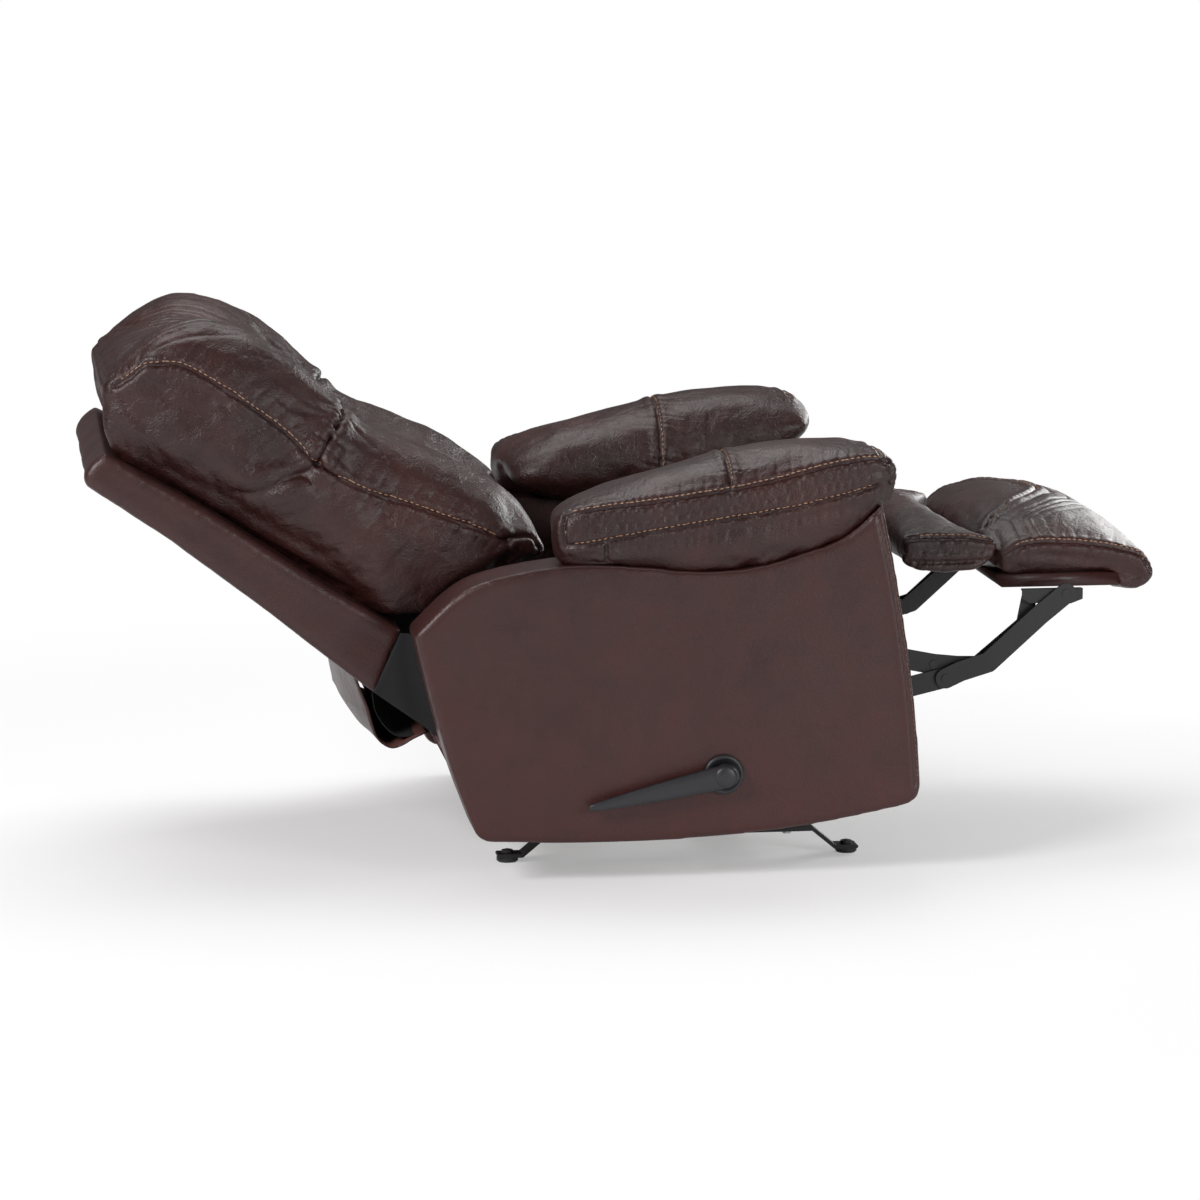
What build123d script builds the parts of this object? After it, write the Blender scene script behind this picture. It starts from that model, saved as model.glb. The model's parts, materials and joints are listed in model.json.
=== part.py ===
"""A rocker recliner armchair, reclined with its footrest out.

Millimetres. +X is forwards, +Y is the sitter's left, +Z is up. The origin is on the floor
under the middle of the chair in its reclined pose, which is also the pose drawn here.
The upholstered body leans back on its rockers, so most outlines below are tilted a little.
"""

from build123d import *
import math
import os

os.makedirs("parts", exist_ok=True)

# ---------------------------------------------------------------- driving dimensions
# widths: the arms, and how far every other piece stays inside the inner face of an arm
ARM_OUTER = 455.0
ARM_THICKNESS = 115.0
PAD_PROUD = 15.0
PAD_OVERHANG = 90.0
SHELL_GAP = 20.0
BACK_CUSHION_GAP = 35.0
SEAT_GAP = 65.0
FOOTREST_GAP = 60.0
BASE_RAIL_GAP = 78.0
PLATE_GAP = 29.0
SKIRT_GAP = 78.0
DUST_GAP = 50.0

# sheet and board thicknesses
COVER_WALL = 10.0
PLYWOOD = 18.0
BOARD = 25.0
STEEL_PLATE = 4.5
HEAVY_PLATE = 5.0
LAYER_GAP = 1.5
FIT = 0.1

# base
FLOOR_REAR_X = -182.0
FLOOR_FRONT_X = 357.0
RAIL_TOP = 43.5
RAIL_THICKNESS = 6.0
RAIL_WIDTH = 32.0
GLIDE_HEIGHT = 7.5
GLIDE_RADIUS = 17.0
ROCKER_RADIUS = 450.0
ROCKER_CLEARANCE = 3.2
ROCK_MIDDLE = 3.75
ROCK_X = 90.0
LEAN = 6.0

# mechanism pivots as (x, z)
BACK_PIVOT = (-300.0, 312.0)
LOWER_PIVOT = (330.0, 240.0)
UPPER_PIVOT = (315.4, 337.0)
LOWER_JOINT = (506.0, 281.0)
CROSS_JOINT = (535.0, 297.0)
SHORT_JOINT = (489.0, 302.0)
REST_FRONT = (697.0, 412.0)
REST_REAR = (642.0, 403.0)
HANDLE_PIVOT = (129.0, 168.0)
LINK_WIDTH = 32.0
SHORT_LINK_WIDTH = 24.0
RIVET_RADIUS = 4.0
HINGE_RADIUS = 8.0
GLIDE_TRAVEL = 46.0
GLIDE_SLOPE = 12.5

# seat, back and footrest
SEAT_FRONT = 437.0
SEAT_DECK = 415.0
SEAT_SWEEP = 277.0
SEAT_REAR_TOP = 452.0
SEAT_FRAME_BOTTOM = 372.0
BOARD_BOTTOM = 419.0
TUBE_RADIUS = 12.0
DRIVE_RADIUS = 10.0

# derived places
ARM_INNER = ARM_OUTER - ARM_THICKNESS
PAD_OUTER = ARM_OUTER + PAD_PROUD
PAD_INNER = ARM_INNER - PAD_OVERHANG
SHELL_HALF_WIDTH = ARM_INNER - SHELL_GAP
BACK_CUSHION_HALF_WIDTH = ARM_INNER - BACK_CUSHION_GAP
SEAT_HALF_WIDTH = ARM_INNER - SEAT_GAP
FOOTREST_HALF_WIDTH = ARM_INNER - FOOTREST_GAP
SKIRT_HALF_WIDTH = ARM_INNER - SKIRT_GAP
DUST_HALF_WIDTH = ARM_INNER - DUST_GAP
BASE_RAIL_MIDDLE = ARM_INNER - BASE_RAIL_GAP
PLATE_OUTER = ARM_INNER - PLATE_GAP
PLATE_INNER = PLATE_OUTER - HEAVY_PLATE
LONG_OUTER = PLATE_INNER - LAYER_GAP
LONG_INNER = LONG_OUTER - STEEL_PLATE
LOWER_OUTER = LONG_INNER - LAYER_GAP
LOWER_INNER = LOWER_OUTER - STEEL_PLATE
UPPER_OUTER = LOWER_INNER - LAYER_GAP
UPPER_INNER = UPPER_OUTER - STEEL_PLATE
SHORT_OUTER = UPPER_INNER - LAYER_GAP
SHORT_INNER = SHORT_OUTER - STEEL_PLATE
RAIL_OUTER = BASE_RAIL_MIDDLE + RAIL_WIDTH / 2
RAIL_INNER = BASE_RAIL_MIDDLE - RAIL_WIDTH / 2
ROCK_Z = RAIL_TOP + ROCKER_CLEARANCE

SIDES = (("right", -1), ("left", 1))

# ---------------------------------------------------------------- helpers


def slab(outline, y_from, y_to):
    """Push an outline drawn as (x, z) through from one y to another."""
    low, high = sorted((y_from, y_to))
    return extrude(Plane.XZ.offset(-high) * outline, amount=high - low, dir=(0, -1, 0))


def pin(centre, radius, y_from, y_to):
    """A round bar across the chair, centred on (x, z)."""
    return slab(Pos(*centre) * Circle(radius), y_from, y_to)


def outline(*curves):
    """One closed face from curves that meet end to end."""
    return make_face(Curve() + list(curves))


def polygon(*points):
    """A straight-sided outline through (x, z) points."""
    return make_face(Polyline(*points, close=True))


def bar(points, width):
    """A flat bar with round ends and elbows that follows (x, z) points."""
    shape = Sketch()
    for start, end in zip(points, points[1:]):
        run = Vector(*end) - Vector(*start)
        middle = (Vector(*start) + Vector(*end)) / 2
        angle = math.degrees(math.atan2(run.Y, run.X))
        shape += Pos(middle.X, middle.Y) * Rot(0, 0, angle) * SlotCenterToCenter(run.length, width)
    return shape


def inset(face, depth, count=64):
    """A many-sided outline that keeps one depth inside a smooth one."""
    edge = face.face().outer_wire()
    points = []
    for step in range(count):
        spot = edge.position_at(step / count)
        inward = edge.tangent_at(step / count).rotate(Axis.Z, 90)
        if not face.face().is_inside(spot + inward):
            inward = -inward
        point = spot + inward * depth
        if edge.distance_to(Vertex(point)) > 0.98 * depth:
            points.append((point.X, point.Y))
    return polygon(*points)


def plank(centre, length, height, y_from, y_to, lean=LEAN):
    """A rectangular rail across or along the chair, turned with the leaning body."""
    section = Pos(*centre) * Rot(0, 0, lean) * Rectangle(length, height)
    return slab(section, y_from, y_to)


def around(centre, radius, degrees):
    """A point on a circle, with the angle measured up from +X."""
    angle = math.radians(degrees)
    return (centre[0] + radius * math.cos(angle), centre[1] + radius * math.sin(angle))


def save(name, shape):
    """Write one named piece to its own file."""
    shape.label = name
    export_step(shape, f"parts/{name}.step")


def group(*shapes):
    """Several separate solids kept in one node."""
    solids = [solid for shape in shapes for solid in shape.solids()]
    return Compound(children=solids)


def pair(make, *values):
    """The right and left copies of one piece, kept in one node."""
    return group(*[make(*values, side) for _, side in SIDES])


# ---------------------------------------------------------------- base that stands on the floor
FOOT_X = (FLOOR_REAR_X, FLOOR_FRONT_X)
FOOT_SPOTS = [(x, side * BASE_RAIL_MIDDLE) for x in FOOT_X for _, side in SIDES]
PAD_MIDDLE = GLIDE_HEIGHT + RAIL_THICKNESS / 2
RAIL_MIDDLE = RAIL_TOP - RAIL_THICKNESS / 2
CROSS_SPOTS = (FLOOR_REAR_X + 95.0, FLOOR_FRONT_X - 95.0)
CROSS_SIZE = (30.0, 20.0)
CROSS_WALL = 2.0
STEM_RADIUS = 4.0
CAP_RADIUS = 9.0
BOLT_RADIUS = 4.0
BOLT_HEAD = (7.0, 5.0)


def base_rail(side):
    """A flat steel rail whose two ends bend down to the feet."""
    path = [
        (FLOOR_REAR_X - 14, PAD_MIDDLE),
        (FLOOR_REAR_X + 22, PAD_MIDDLE),
        (FLOOR_REAR_X + 58, RAIL_MIDDLE),
        (FLOOR_FRONT_X - 56, RAIL_MIDDLE),
        (FLOOR_FRONT_X - 20, PAD_MIDDLE),
        (FLOOR_FRONT_X + 14, PAD_MIDDLE),
    ]
    rail = slab(bar(path, RAIL_THICKNESS), side * RAIL_INNER, side * RAIL_OUTER)
    for x in FOOT_X:
        rail -= Pos(x, side * BASE_RAIL_MIDDLE, PAD_MIDDLE) * Cylinder(STEM_RADIUS + FIT, 30)
    for x in CROSS_SPOTS:
        rail -= Pos(x, side * BASE_RAIL_MIDDLE, RAIL_MIDDLE) * Cylinder(BOLT_RADIUS + FIT, 30)
    return rail


def glide_foot(x, y):
    """A plastic glide: a disc under the rail, a stem through it and a cap on top."""
    rail_up = GLIDE_HEIGHT + RAIL_THICKNESS
    disc = Pos(x, y, GLIDE_HEIGHT / 2) * Cylinder(GLIDE_RADIUS, GLIDE_HEIGHT)
    disc = chamfer(disc.edges().group_by(Axis.Z)[0], 2)
    stem = Pos(x, y, rail_up) * Cylinder(STEM_RADIUS, 2 * RAIL_THICKNESS)
    cap = Pos(x, y, rail_up + 2.5) * Cylinder(CAP_RADIUS, 4)
    return disc + stem + cap


def cross_member(x):
    """A steel tube that ties the two rails together."""
    length, height = CROSS_SIZE
    tube = Box(length, 2 * RAIL_OUTER, height)
    tube -= Box(length - 2 * CROSS_WALL, 2 * RAIL_OUTER, height - 2 * CROSS_WALL)
    tube = Pos(x, 0, RAIL_TOP + height / 2) * tube
    for _, side in SIDES:
        tube -= Pos(x, side * BASE_RAIL_MIDDLE, RAIL_TOP) * Cylinder(BOLT_RADIUS + FIT, 10)
    return tube


def base_bolt(x, y):
    """A hex bolt from under the rail with its nut inside the cross member."""
    size, thick = BOLT_HEAD
    under = RAIL_TOP - RAIL_THICKNESS
    inside = RAIL_TOP + CROSS_WALL
    head = Pos(x, y, under - thick) * extrude(RegularPolygon(size, 6), thick)
    shank = Pos(x, y, under - 1) * extrude(Circle(BOLT_RADIUS), inside + thick + 3 - under)
    nut = Pos(x, y, inside) * extrude(RegularPolygon(size, 6), thick)
    return head + shank + nut


SPRING_X = (ROCK_X - 62.0, ROCK_X + 62.0)
SPRING_Y = RAIL_INNER - 24.0
SPRING_COIL = 15.0
SPRING_WIRE = 3.0
SPRING_PLATE = 4.0
SPRING_BOTTOM = RAIL_TOP + SPRING_PLATE
SPRING_TOP = 103.0
SPRING_PITCH = 9.0


def spring_shelf(side):
    """A steel shelf on the rail that carries the foot of each rocker spring."""
    length = SPRING_X[1] - SPRING_X[0] + 60
    width = RAIL_OUTER - SPRING_Y + SPRING_COIL + 6
    shelf = Box(length, width, SPRING_PLATE)
    y = side * (RAIL_OUTER - width / 2)
    middle = RAIL_TOP + SPRING_PLATE / 2
    shelf = Pos(ROCK_X, y, middle) * shelf
    rocker_slot = Box(length + 2, RAIL_WIDTH + 2, SPRING_PLATE + 2)
    shelf -= Pos(ROCK_X, side * (BASE_RAIL_MIDDLE + 2), middle) * rocker_slot
    lip = Box(length, SPRING_PLATE, RAIL_THICKNESS + SPRING_PLATE)
    lip_z = RAIL_TOP + SPRING_PLATE - (RAIL_THICKNESS + SPRING_PLATE) / 2
    return shelf + Pos(ROCK_X, side * (RAIL_INNER - SPRING_PLATE / 2), lip_z) * lip


def coil_spring(x, y):
    """One stout coil that holds the chair level on its rockers."""
    height = SPRING_TOP - SPRING_BOTTOM - 2 * SPRING_WIRE - 1
    path = Helix(pitch=SPRING_PITCH, height=height, radius=SPRING_COIL)
    section = Plane(origin=path @ 0, z_dir=path % 0) * Circle(SPRING_WIRE)
    coil = sweep(section, path=path, is_frenet=True)
    return Pos(x, y, SPRING_BOTTOM + SPRING_WIRE + 0.5) * coil


for name, side in SIDES:
    save(f"base_rail_{name}", base_rail(side))
save("spring_shelves", pair(spring_shelf))
save("base_cross_members", group(*[cross_member(x) for x in CROSS_SPOTS]))
save("glide_feet", group(*[glide_foot(x, y) for x, y in FOOT_SPOTS]))
BASE_BOLTS = [base_bolt(x, side * BASE_RAIL_MIDDLE) for x in CROSS_SPOTS for _, side in SIDES]
save("base_bolts", group(*BASE_BOLTS))
COILS = [coil_spring(x, side * SPRING_Y) for x in SPRING_X for _, side in SIDES]
save("rocker_springs", group(*COILS))

# ---------------------------------------------------------------- rocking body and arms
SILL_SIZE = (400.0, 30.0)
ROCKER_LENGTH = 250.0
WOOD_INNER = RAIL_INNER + 2.0
WOOD_OUTER = RAIL_OUTER - 2.0
SILL_CENTRE = (-5.0, 122.0)
FRAME_CLEARANCE = 1.0
BORE_RADIUS = 12.0
ARM_TOP = [
    (-344, 392),
    (-284, 448),
    (-230, 474),
    (-121, 493),
    (-20, 492),
    (98, 481),
    (185, 488),
    (249, 506),
    (314, 529),
    (374, 579),
]


def arm_outline():
    """The side of an arm: swooping top, nearly straight front and a gently bowed bottom."""
    top = Spline(*ARM_TOP)
    front = ThreePointArc((374, 579), (418, 340), (438, 143))
    toe = ThreePointArc((438, 143), (432, 122), (415, 110))
    bottom = ThreePointArc((415, 110), (90, 60), (-232, 69))
    heel = ThreePointArc((-232, 69), (-247, 76), (-255, 90))
    rear = Spline((-255, 90), (-312, 266), (-344, 392))
    return outline(top, front, toe, bottom, heel, rear)


ARM_FACE = arm_outline()
COVER_CAVITY = inset(ARM_FACE, COVER_WALL)
FRAME_FACE = inset(ARM_FACE, COVER_WALL + 2 * FRAME_CLEARANCE)
CAVITY_MOUTH = Pos(80, 80) * Rectangle(560, 70)
FRAME_INNER = ARM_INNER + COVER_WALL + FRAME_CLEARANCE
FRAME_OUTER = FRAME_INNER + PLYWOOD
WINDOWS = ((-180, 330, 110), (-20, 330, 130), (160, 340, 120))
CROSS_RAIL = (BOARD, 50.0)


def on_sill(along):
    """The middle of a cross rail that stands on the sills, so far forward of their middle."""
    lean = math.radians(LEAN)
    up = (SILL_SIZE[1] + CROSS_RAIL[1]) / 2
    x = SILL_CENTRE[0] + along * math.cos(lean) - up * math.sin(lean)
    return (x, SILL_CENTRE[1] + along * math.sin(lean) + up * math.cos(lean))


MIDDLE_RAIL = on_sill(80)
REAR_RAIL = on_sill(15 - SILL_SIZE[0] / 2)
RAIL_BOLTS = [(x, z + up) for x, z in (MIDDLE_RAIL, REAR_RAIL) for up in (-12, 12)]
PANEL_THICKNESS = 12.0
RING_RADIUS = 30.0
RING_OUTER = ARM_OUTER + 6.0
TRACK_Y = (PLATE_OUTER + 11.0, PLATE_OUTER + 17.0)
TRACK_CENTRE = (-20.0, 262.0)
TRACK_SIZE = (430.0, 44.0)
ROLLER_X = (-150.0, 110.0)
ROLLER_RADIUS = 6.9


def arm_cover(side):
    """The leather-covered padding of an arm, open underneath, round its plywood frame."""
    cover = slab(ARM_FACE, side * ARM_INNER, side * ARM_OUTER)
    hollow = COVER_CAVITY + CAVITY_MOUTH
    cover -= slab(hollow, side * (ARM_INNER + COVER_WALL), side * (ARM_OUTER - COVER_WALL))
    cover -= pin(HANDLE_PIVOT, BORE_RADIUS, side * (ARM_INNER - 1), side * (ARM_OUTER + 1))
    for spot in RAIL_BOLTS:
        cover -= pin(spot, BOLT_RADIUS + FIT, side * (ARM_INNER - 1), side * FRAME_INNER)
    return cover


def arm_frame(side):
    """The plywood panel inside an arm, with lightening windows."""
    face = FRAME_FACE
    for x, z, size in WINDOWS:
        face -= Pos(x, z) * RectangleRounded(size, size, 20)
    panel = slab(face, side * FRAME_INNER, side * FRAME_OUTER)
    through = (side * (FRAME_INNER - 1), side * (FRAME_OUTER + 1))
    panel -= pin(HANDLE_PIVOT, BORE_RADIUS, *through)
    for spot in RAIL_BOLTS:
        panel -= pin(spot, BOLT_RADIUS + FIT, *through)
    return panel


def arm_pad(side):
    """The fat pillow on an arm: rounded sections from its rear end to its nose."""
    middle = side * (PAD_OUTER + PAD_INNER) / 2
    width = PAD_OUTER - PAD_INNER
    stations = [
        (-106, 508, 560, 0.72),
        (-60, 500, 604, 0.95),
        (20, 498, 628, 1.0),
        (120, 496, 658, 1.0),
        (220, 510, 673, 1.0),
        (310, 542, 676, 0.97),
        (372, 584, 666, 0.86),
        (398, 596, 640, 0.62),
    ]
    sections = []
    for x, low, high, share in stations:
        height = high - low
        place = Plane((x, middle, (low + high) / 2), x_dir=(0, 1, 0), z_dir=(1, 0, 0))
        sections.append(place * RectangleRounded(width * share, height, 0.46 * height))
    return loft(sections)


def rocker(side):
    """A hardwood rocker under the sill, with its round edge down on the rail."""
    x, z = around((ROCK_X, ROCK_Z), ROCKER_RADIUS, 90 + ROCK_MIDDLE)
    disc = Pos(x, z) * Circle(ROCKER_RADIUS)
    depth = 400
    below = around(SILL_CENTRE, (SILL_SIZE[1] + depth) / 2, LEAN - 90)
    under_sill = Pos(*below) * Rot(0, 0, LEAN) * Rectangle(2 * ROCKER_RADIUS, depth)
    window = Pos(x + 12, depth / 4) * Rectangle(ROCKER_LENGTH, depth)
    return slab(disc & under_sill & window, side * WOOD_INNER, side * WOOD_OUTER)


def sill(side):
    """A fore-and-aft rail of the body that the rocker is screwed to."""
    return plank(SILL_CENTRE, *SILL_SIZE, side * WOOD_INNER, side * WOOD_OUTER)


def body_rail(centre):
    """A rail across the body from one arm to the other, standing on the sills."""
    return plank(centre, *CROSS_RAIL, -ARM_INNER, ARM_INNER)


def rail_bolt(spot, side):
    """A bolt through an arm into the end of a cross rail, its head inside the arm."""
    shank = pin(spot, BOLT_RADIUS, side * (ARM_INNER + 0.2), side * (FRAME_OUTER + 1))
    return shank + pin(spot, 8, side * (FRAME_OUTER + 0.2), side * (FRAME_OUTER + 5))


def spring_hanger(side):
    """A steel angle on the inner side of the sill that presses on the springs."""
    length = SPRING_X[1] - SPRING_X[0] + 50
    inner, outer = side * (SPRING_Y - 20), side * (RAIL_INNER + 1)
    top = plank((ROCK_X, SPRING_TOP + 6), length, SPRING_PLATE, inner, outer, 0)
    inner, outer = side * (RAIL_INNER - 3), side * WOOD_INNER
    web = plank((ROCK_X - 25, SPRING_TOP + 18), length - 80, 28, inner, outer, 0)
    return top + web


def glide_track(side):
    """A slotted steel track on the inner side of an arm that the seat carriage slides in."""
    plate = Pos(*TRACK_CENTRE) * Rectangle(*TRACK_SIZE)
    for x in ROLLER_X:
        back = Vector(x, TRACK_CENTRE[1]) - Vector(GLIDE_TRAVEL / 2, 0).rotate(Axis.Z, GLIDE_SLOPE)
        slot = SlotCenterToCenter(GLIDE_TRAVEL + 1, 2 * (ROLLER_RADIUS + FIT))
        plate -= Pos(back.X, back.Y) * Rot(0, 0, GLIDE_SLOPE) * slot
    track = slab(plate, side * TRACK_Y[0], side * TRACK_Y[1])
    for end in (-1, 1):
        spot = (TRACK_CENTRE[0] + end * (TRACK_SIZE[0] / 2 - 15), TRACK_CENTRE[1])
        track += plank(spot, 30, TRACK_SIZE[1], side * TRACK_Y[1], side * ARM_INNER, 0)
    return track


def rear_panel():
    """The covered panel that closes the lower rear of the body."""
    run = [(-296, 210), (-240, 100)]
    return slab(bar(run, PANEL_THICKNESS), -ARM_INNER + 1, ARM_INNER - 1)


def handle_plate():
    """The round escutcheon on the right arm that the lever turns in."""
    ring = pin(HANDLE_PIVOT, RING_RADIUS, -ARM_OUTER, -RING_OUTER)
    return ring - pin(HANDLE_PIVOT, BORE_RADIUS, -ARM_OUTER + 1, -RING_OUTER - 1)


for name, side in SIDES:
    save(f"arm_cover_{name}", arm_cover(side))
    save(f"arm_frame_{name}", arm_frame(side))
    save(f"arm_pad_{name}", arm_pad(side))
save("rockers", pair(rocker))
save("body_sills", pair(sill))
save("glide_tracks", pair(glide_track))
save("spring_hangers", pair(spring_hanger))
save("body_rail_middle", body_rail(MIDDLE_RAIL))
save("body_rail_rear", body_rail(REAR_RAIL))
save("arm_bolts", group(*[rail_bolt(spot, side) for spot in RAIL_BOLTS for _, side in SIDES]))
save("rear_panel", rear_panel())
save("handle_plate", handle_plate())

# ---------------------------------------------------------------- release handle
HANDLE_TILT = 192.0
HANDLE_LENGTH = 215.0
HANDLE_INNER = RING_OUTER + 1.0
BOSS_RADIUS = 24.0
BOSS_DEPTH = 18.0
TUBE_WALL = 2.0


def handle_lever():
    """A tapered plastic lever with a round boss, pointing rearwards when the footrest is out."""
    boss = pin(HANDLE_PIVOT, BOSS_RADIUS, -HANDLE_INNER, -HANDLE_INNER - BOSS_DEPTH)
    middle = -HANDLE_INNER - BOSS_DEPTH + 6
    along = Vector(1, 0, 0).rotate(Axis.Y, -HANDLE_TILT)
    sections = []
    for reach, height, thickness in ((0, 34, 16), (90, 30, 13), (HANDLE_LENGTH, 13, 9)):
        x, z = around(HANDLE_PIVOT, reach, HANDLE_TILT)
        place = Plane((x, middle, z), x_dir=(0, 1, 0), z_dir=along)
        sections.append(place * RectangleRounded(thickness, height, 0.4 * thickness))
    lever = boss + loft(sections)
    socket = pin(HANDLE_PIVOT, DRIVE_RADIUS + FIT / 2, -HANDLE_INNER + 1, -HANDLE_INNER - 12)
    return lever - socket


def drive_tube():
    """The torque tube from the lever across to both sides of the mechanism."""
    near, far = -HANDLE_INNER - 11, ARM_INNER - 10
    tube = pin(HANDLE_PIVOT, DRIVE_RADIUS, near, far)
    return tube - pin(HANDLE_PIVOT, DRIVE_RADIUS - TUBE_WALL, near - 1, far + 1)


save("handle_lever", handle_lever())
save("drive_tube", drive_tube())

# ---------------------------------------------------------------- seat carriage
MEMBER = 22.0
FRAME_Y = (SEAT_HALF_WIDTH - MEMBER, SEAT_HALF_WIDTH)
FRAME_HEIGHT = 36.0
SPRING_PITCHES = (-0.73, -0.36, 0.0, 0.36, 0.73)
ZIGZAG = 18.0
ZIGZAG_WIRE = 4.0
SKIRT_THICKNESS = 4.0
DUST_THICKNESS = 3.0
FRAME_X = (-26.0, SEAT_FRONT - 7.0)
FRONT_TUBE = (235.0, 345.0)
REAR_TUBE = (-150.0, 262.0)


def side_plate(side):
    """The long pressed plate that carries the seat, the back hinge and the footrest pivots."""
    face = polygon(
        (-318, 334), (-328, 306), (-300, 286), (-120, 232), (200, 210), (335, 216),
        (352, 240), (340, 345), (322, 360), (60, 366), (-40, 340), (-280, 336),
    )
    face = fillet(face.vertices(), 8)
    for spot in (LOWER_PIVOT, UPPER_PIVOT):
        face -= Pos(*spot) * Circle(RIVET_RADIUS + FIT)
    face -= Pos(*BACK_PIVOT) * Circle(HINGE_RADIUS + FIT)
    for x in ROLLER_X:
        face -= Pos(x, TRACK_CENTRE[1]) * Circle(ROLLER_RADIUS + FIT)
    return slab(face, side * PLATE_INNER, side * PLATE_OUTER)


def rivet(spot, side, y_inner, y_outer, radius=RIVET_RADIUS):
    """A shouldered rivet with a low head at each end."""
    body = pin(spot, radius, side * y_inner, side * y_outer)
    inner_head = pin(spot, radius + 3, side * (y_inner - 1.2), side * y_inner)
    outer_head = pin(spot, radius + 3, side * y_outer, side * (y_outer + 1.2))
    return body + inner_head + outer_head


def roller(x, side):
    """A roller stud that runs in a slot of the glide track."""
    spot = (x, TRACK_CENTRE[1])
    stud = pin(spot, ROLLER_RADIUS, side * PLATE_INNER, side * (TRACK_Y[1] + 1))
    return stud + pin(spot, 10, side * (TRACK_Y[1] + 0.5), side * (TRACK_Y[1] + 4))


def seat_bracket(x, side):
    """A steel angle from the side plate to the underside of the seat frame."""
    length, thick = 40, 4
    top = SEAT_FRAME_BOTTOM
    outer = side * PLATE_INNER
    shelf = plank((x, top - thick / 2), length, thick, side * FRAME_Y[0], outer, 0)
    leg = plank((x, top - length / 2), length, length, side * (PLATE_INNER - thick + 1), outer, 0)
    return shelf + leg


def seat_frame_part(x_from, x_to, y_from, y_to):
    """One hardwood member of the seat frame."""
    size = (x_to - x_from, FRAME_HEIGHT)
    centre = ((x_from + x_to) / 2, SEAT_FRAME_BOTTOM + FRAME_HEIGHT / 2)
    return plank(centre, *size, y_from, y_to, 0)


def sinuous_spring(y):
    """A zigzag seat spring from the rear rail to the front rail."""
    start, end, waves = FRAME_X[0] + 5, FRAME_X[1] - 5, 14
    step = (end - start) / waves
    points = [(start + i * step, y + (-1) ** (i + 1) * ZIGZAG) for i in range(waves + 1)]
    wire = trace(FilletPolyline(*points, radius=8), ZIGZAG_WIRE)
    return Pos(0, 0, SEAT_FRAME_BOTTOM + FRAME_HEIGHT) * extrude(wire, ZIGZAG_WIRE)


def seat_cushion():
    """The seat pad, hollowed at the rear where the back swings past."""
    low, high = (
        math.degrees(math.asin((z - BACK_PIVOT[1]) / SEAT_SWEEP)) for z in (SEAT_DECK, SEAT_REAR_TOP)
    )
    start, middle, end = (
        around(BACK_PIVOT, SEAT_SWEEP, angle) for angle in (low, (low + high) / 2, high)
    )
    rear = ThreePointArc(start, middle, end)
    top = Spline(end, (100, 474), (300, 488), (SEAT_FRONT - 24, 494))
    nose = ThreePointArc((SEAT_FRONT - 24, 494), (SEAT_FRONT - 7, 488), (SEAT_FRONT, 472))
    foot = Polyline((SEAT_FRONT, 472), (SEAT_FRONT, SEAT_DECK), start)
    return slab(outline(rear, top, nose, foot), -SEAT_HALF_WIDTH, SEAT_HALF_WIDTH)


def carriage_tube(spot):
    """A round steel tube between the two side plates."""
    tube = pin(spot, TUBE_RADIUS, -PLATE_INNER, PLATE_INNER)
    return tube - pin(spot, TUBE_RADIUS - TUBE_WALL, -PLATE_OUTER, PLATE_OUTER)


def rear_skirt():
    """The loose leather sheet that hangs under the back and curves forward to the body."""
    path = Spline((-414, 288), (-400, 252), (-390, 218), (-363, 183), (-330, 196), (-306, 209))
    return slab(trace(path, SKIRT_THICKNESS), -SKIRT_HALF_WIDTH, SKIRT_HALF_WIDTH)


for name, side in SIDES:
    save(f"side_plate_{name}", side_plate(side))
    across = (side * FRAME_Y[0], side * FRAME_Y[1])
    member = seat_frame_part(FRAME_X[0] + MEMBER, FRAME_X[1] - MEMBER, *across)
    save(f"seat_frame_side_{name}", member)
across = (-SEAT_HALF_WIDTH, SEAT_HALF_WIDTH)
save("seat_frame_front", seat_frame_part(FRAME_X[1] - MEMBER, FRAME_X[1], *across))
save("seat_frame_rear", seat_frame_part(FRAME_X[0], FRAME_X[0] + MEMBER, *across))
save("carriage_tubes", group(*[carriage_tube(spot) for spot in (FRONT_TUBE, REAR_TUBE)]))
PIVOTS = [rivet(LOWER_PIVOT, side, LOWER_INNER - 0.2, PLATE_OUTER + 0.2) for _, side in SIDES]
PIVOTS += [rivet(UPPER_PIVOT, side, UPPER_INNER - 0.2, PLATE_OUTER + 0.2) for _, side in SIDES]
save("link_pivot_studs", group(*PIVOTS))
HINGE_SPAN = (PLATE_INNER - 9.2, PLATE_OUTER + 0.2)
HINGES = [rivet(BACK_PIVOT, side, *HINGE_SPAN, HINGE_RADIUS) for _, side in SIDES]
save("back_hinge_pins", group(*HINGES))
save("glide_rollers", group(*[roller(x, side) for x in ROLLER_X for _, side in SIDES]))
save("seat_brackets", group(*[seat_bracket(x, side) for x in (60, 283) for _, side in SIDES]))
WIRES = [sinuous_spring(share * SEAT_HALF_WIDTH) for share in SPRING_PITCHES]
save("seat_springs", group(*WIRES))
save("seat_cushion", seat_cushion())
save("rear_skirt", rear_skirt())
DUST_LINE = bar([(-300, 228), (-40, 330)], DUST_THICKNESS)
save("dust_cover", slab(DUST_LINE, -DUST_HALF_WIDTH, DUST_HALF_WIDTH))

# ---------------------------------------------------------------- reclining back
SHELL_TOP = ((-800, 660), (-349, 379))
SHELL_FOOT = (-391, 279)
SHELL_TIP = (-833, 614)
POST = (MEMBER, 45.0)
SKIN = 8.0
STRAP = (50.0, 2.0)


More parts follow.
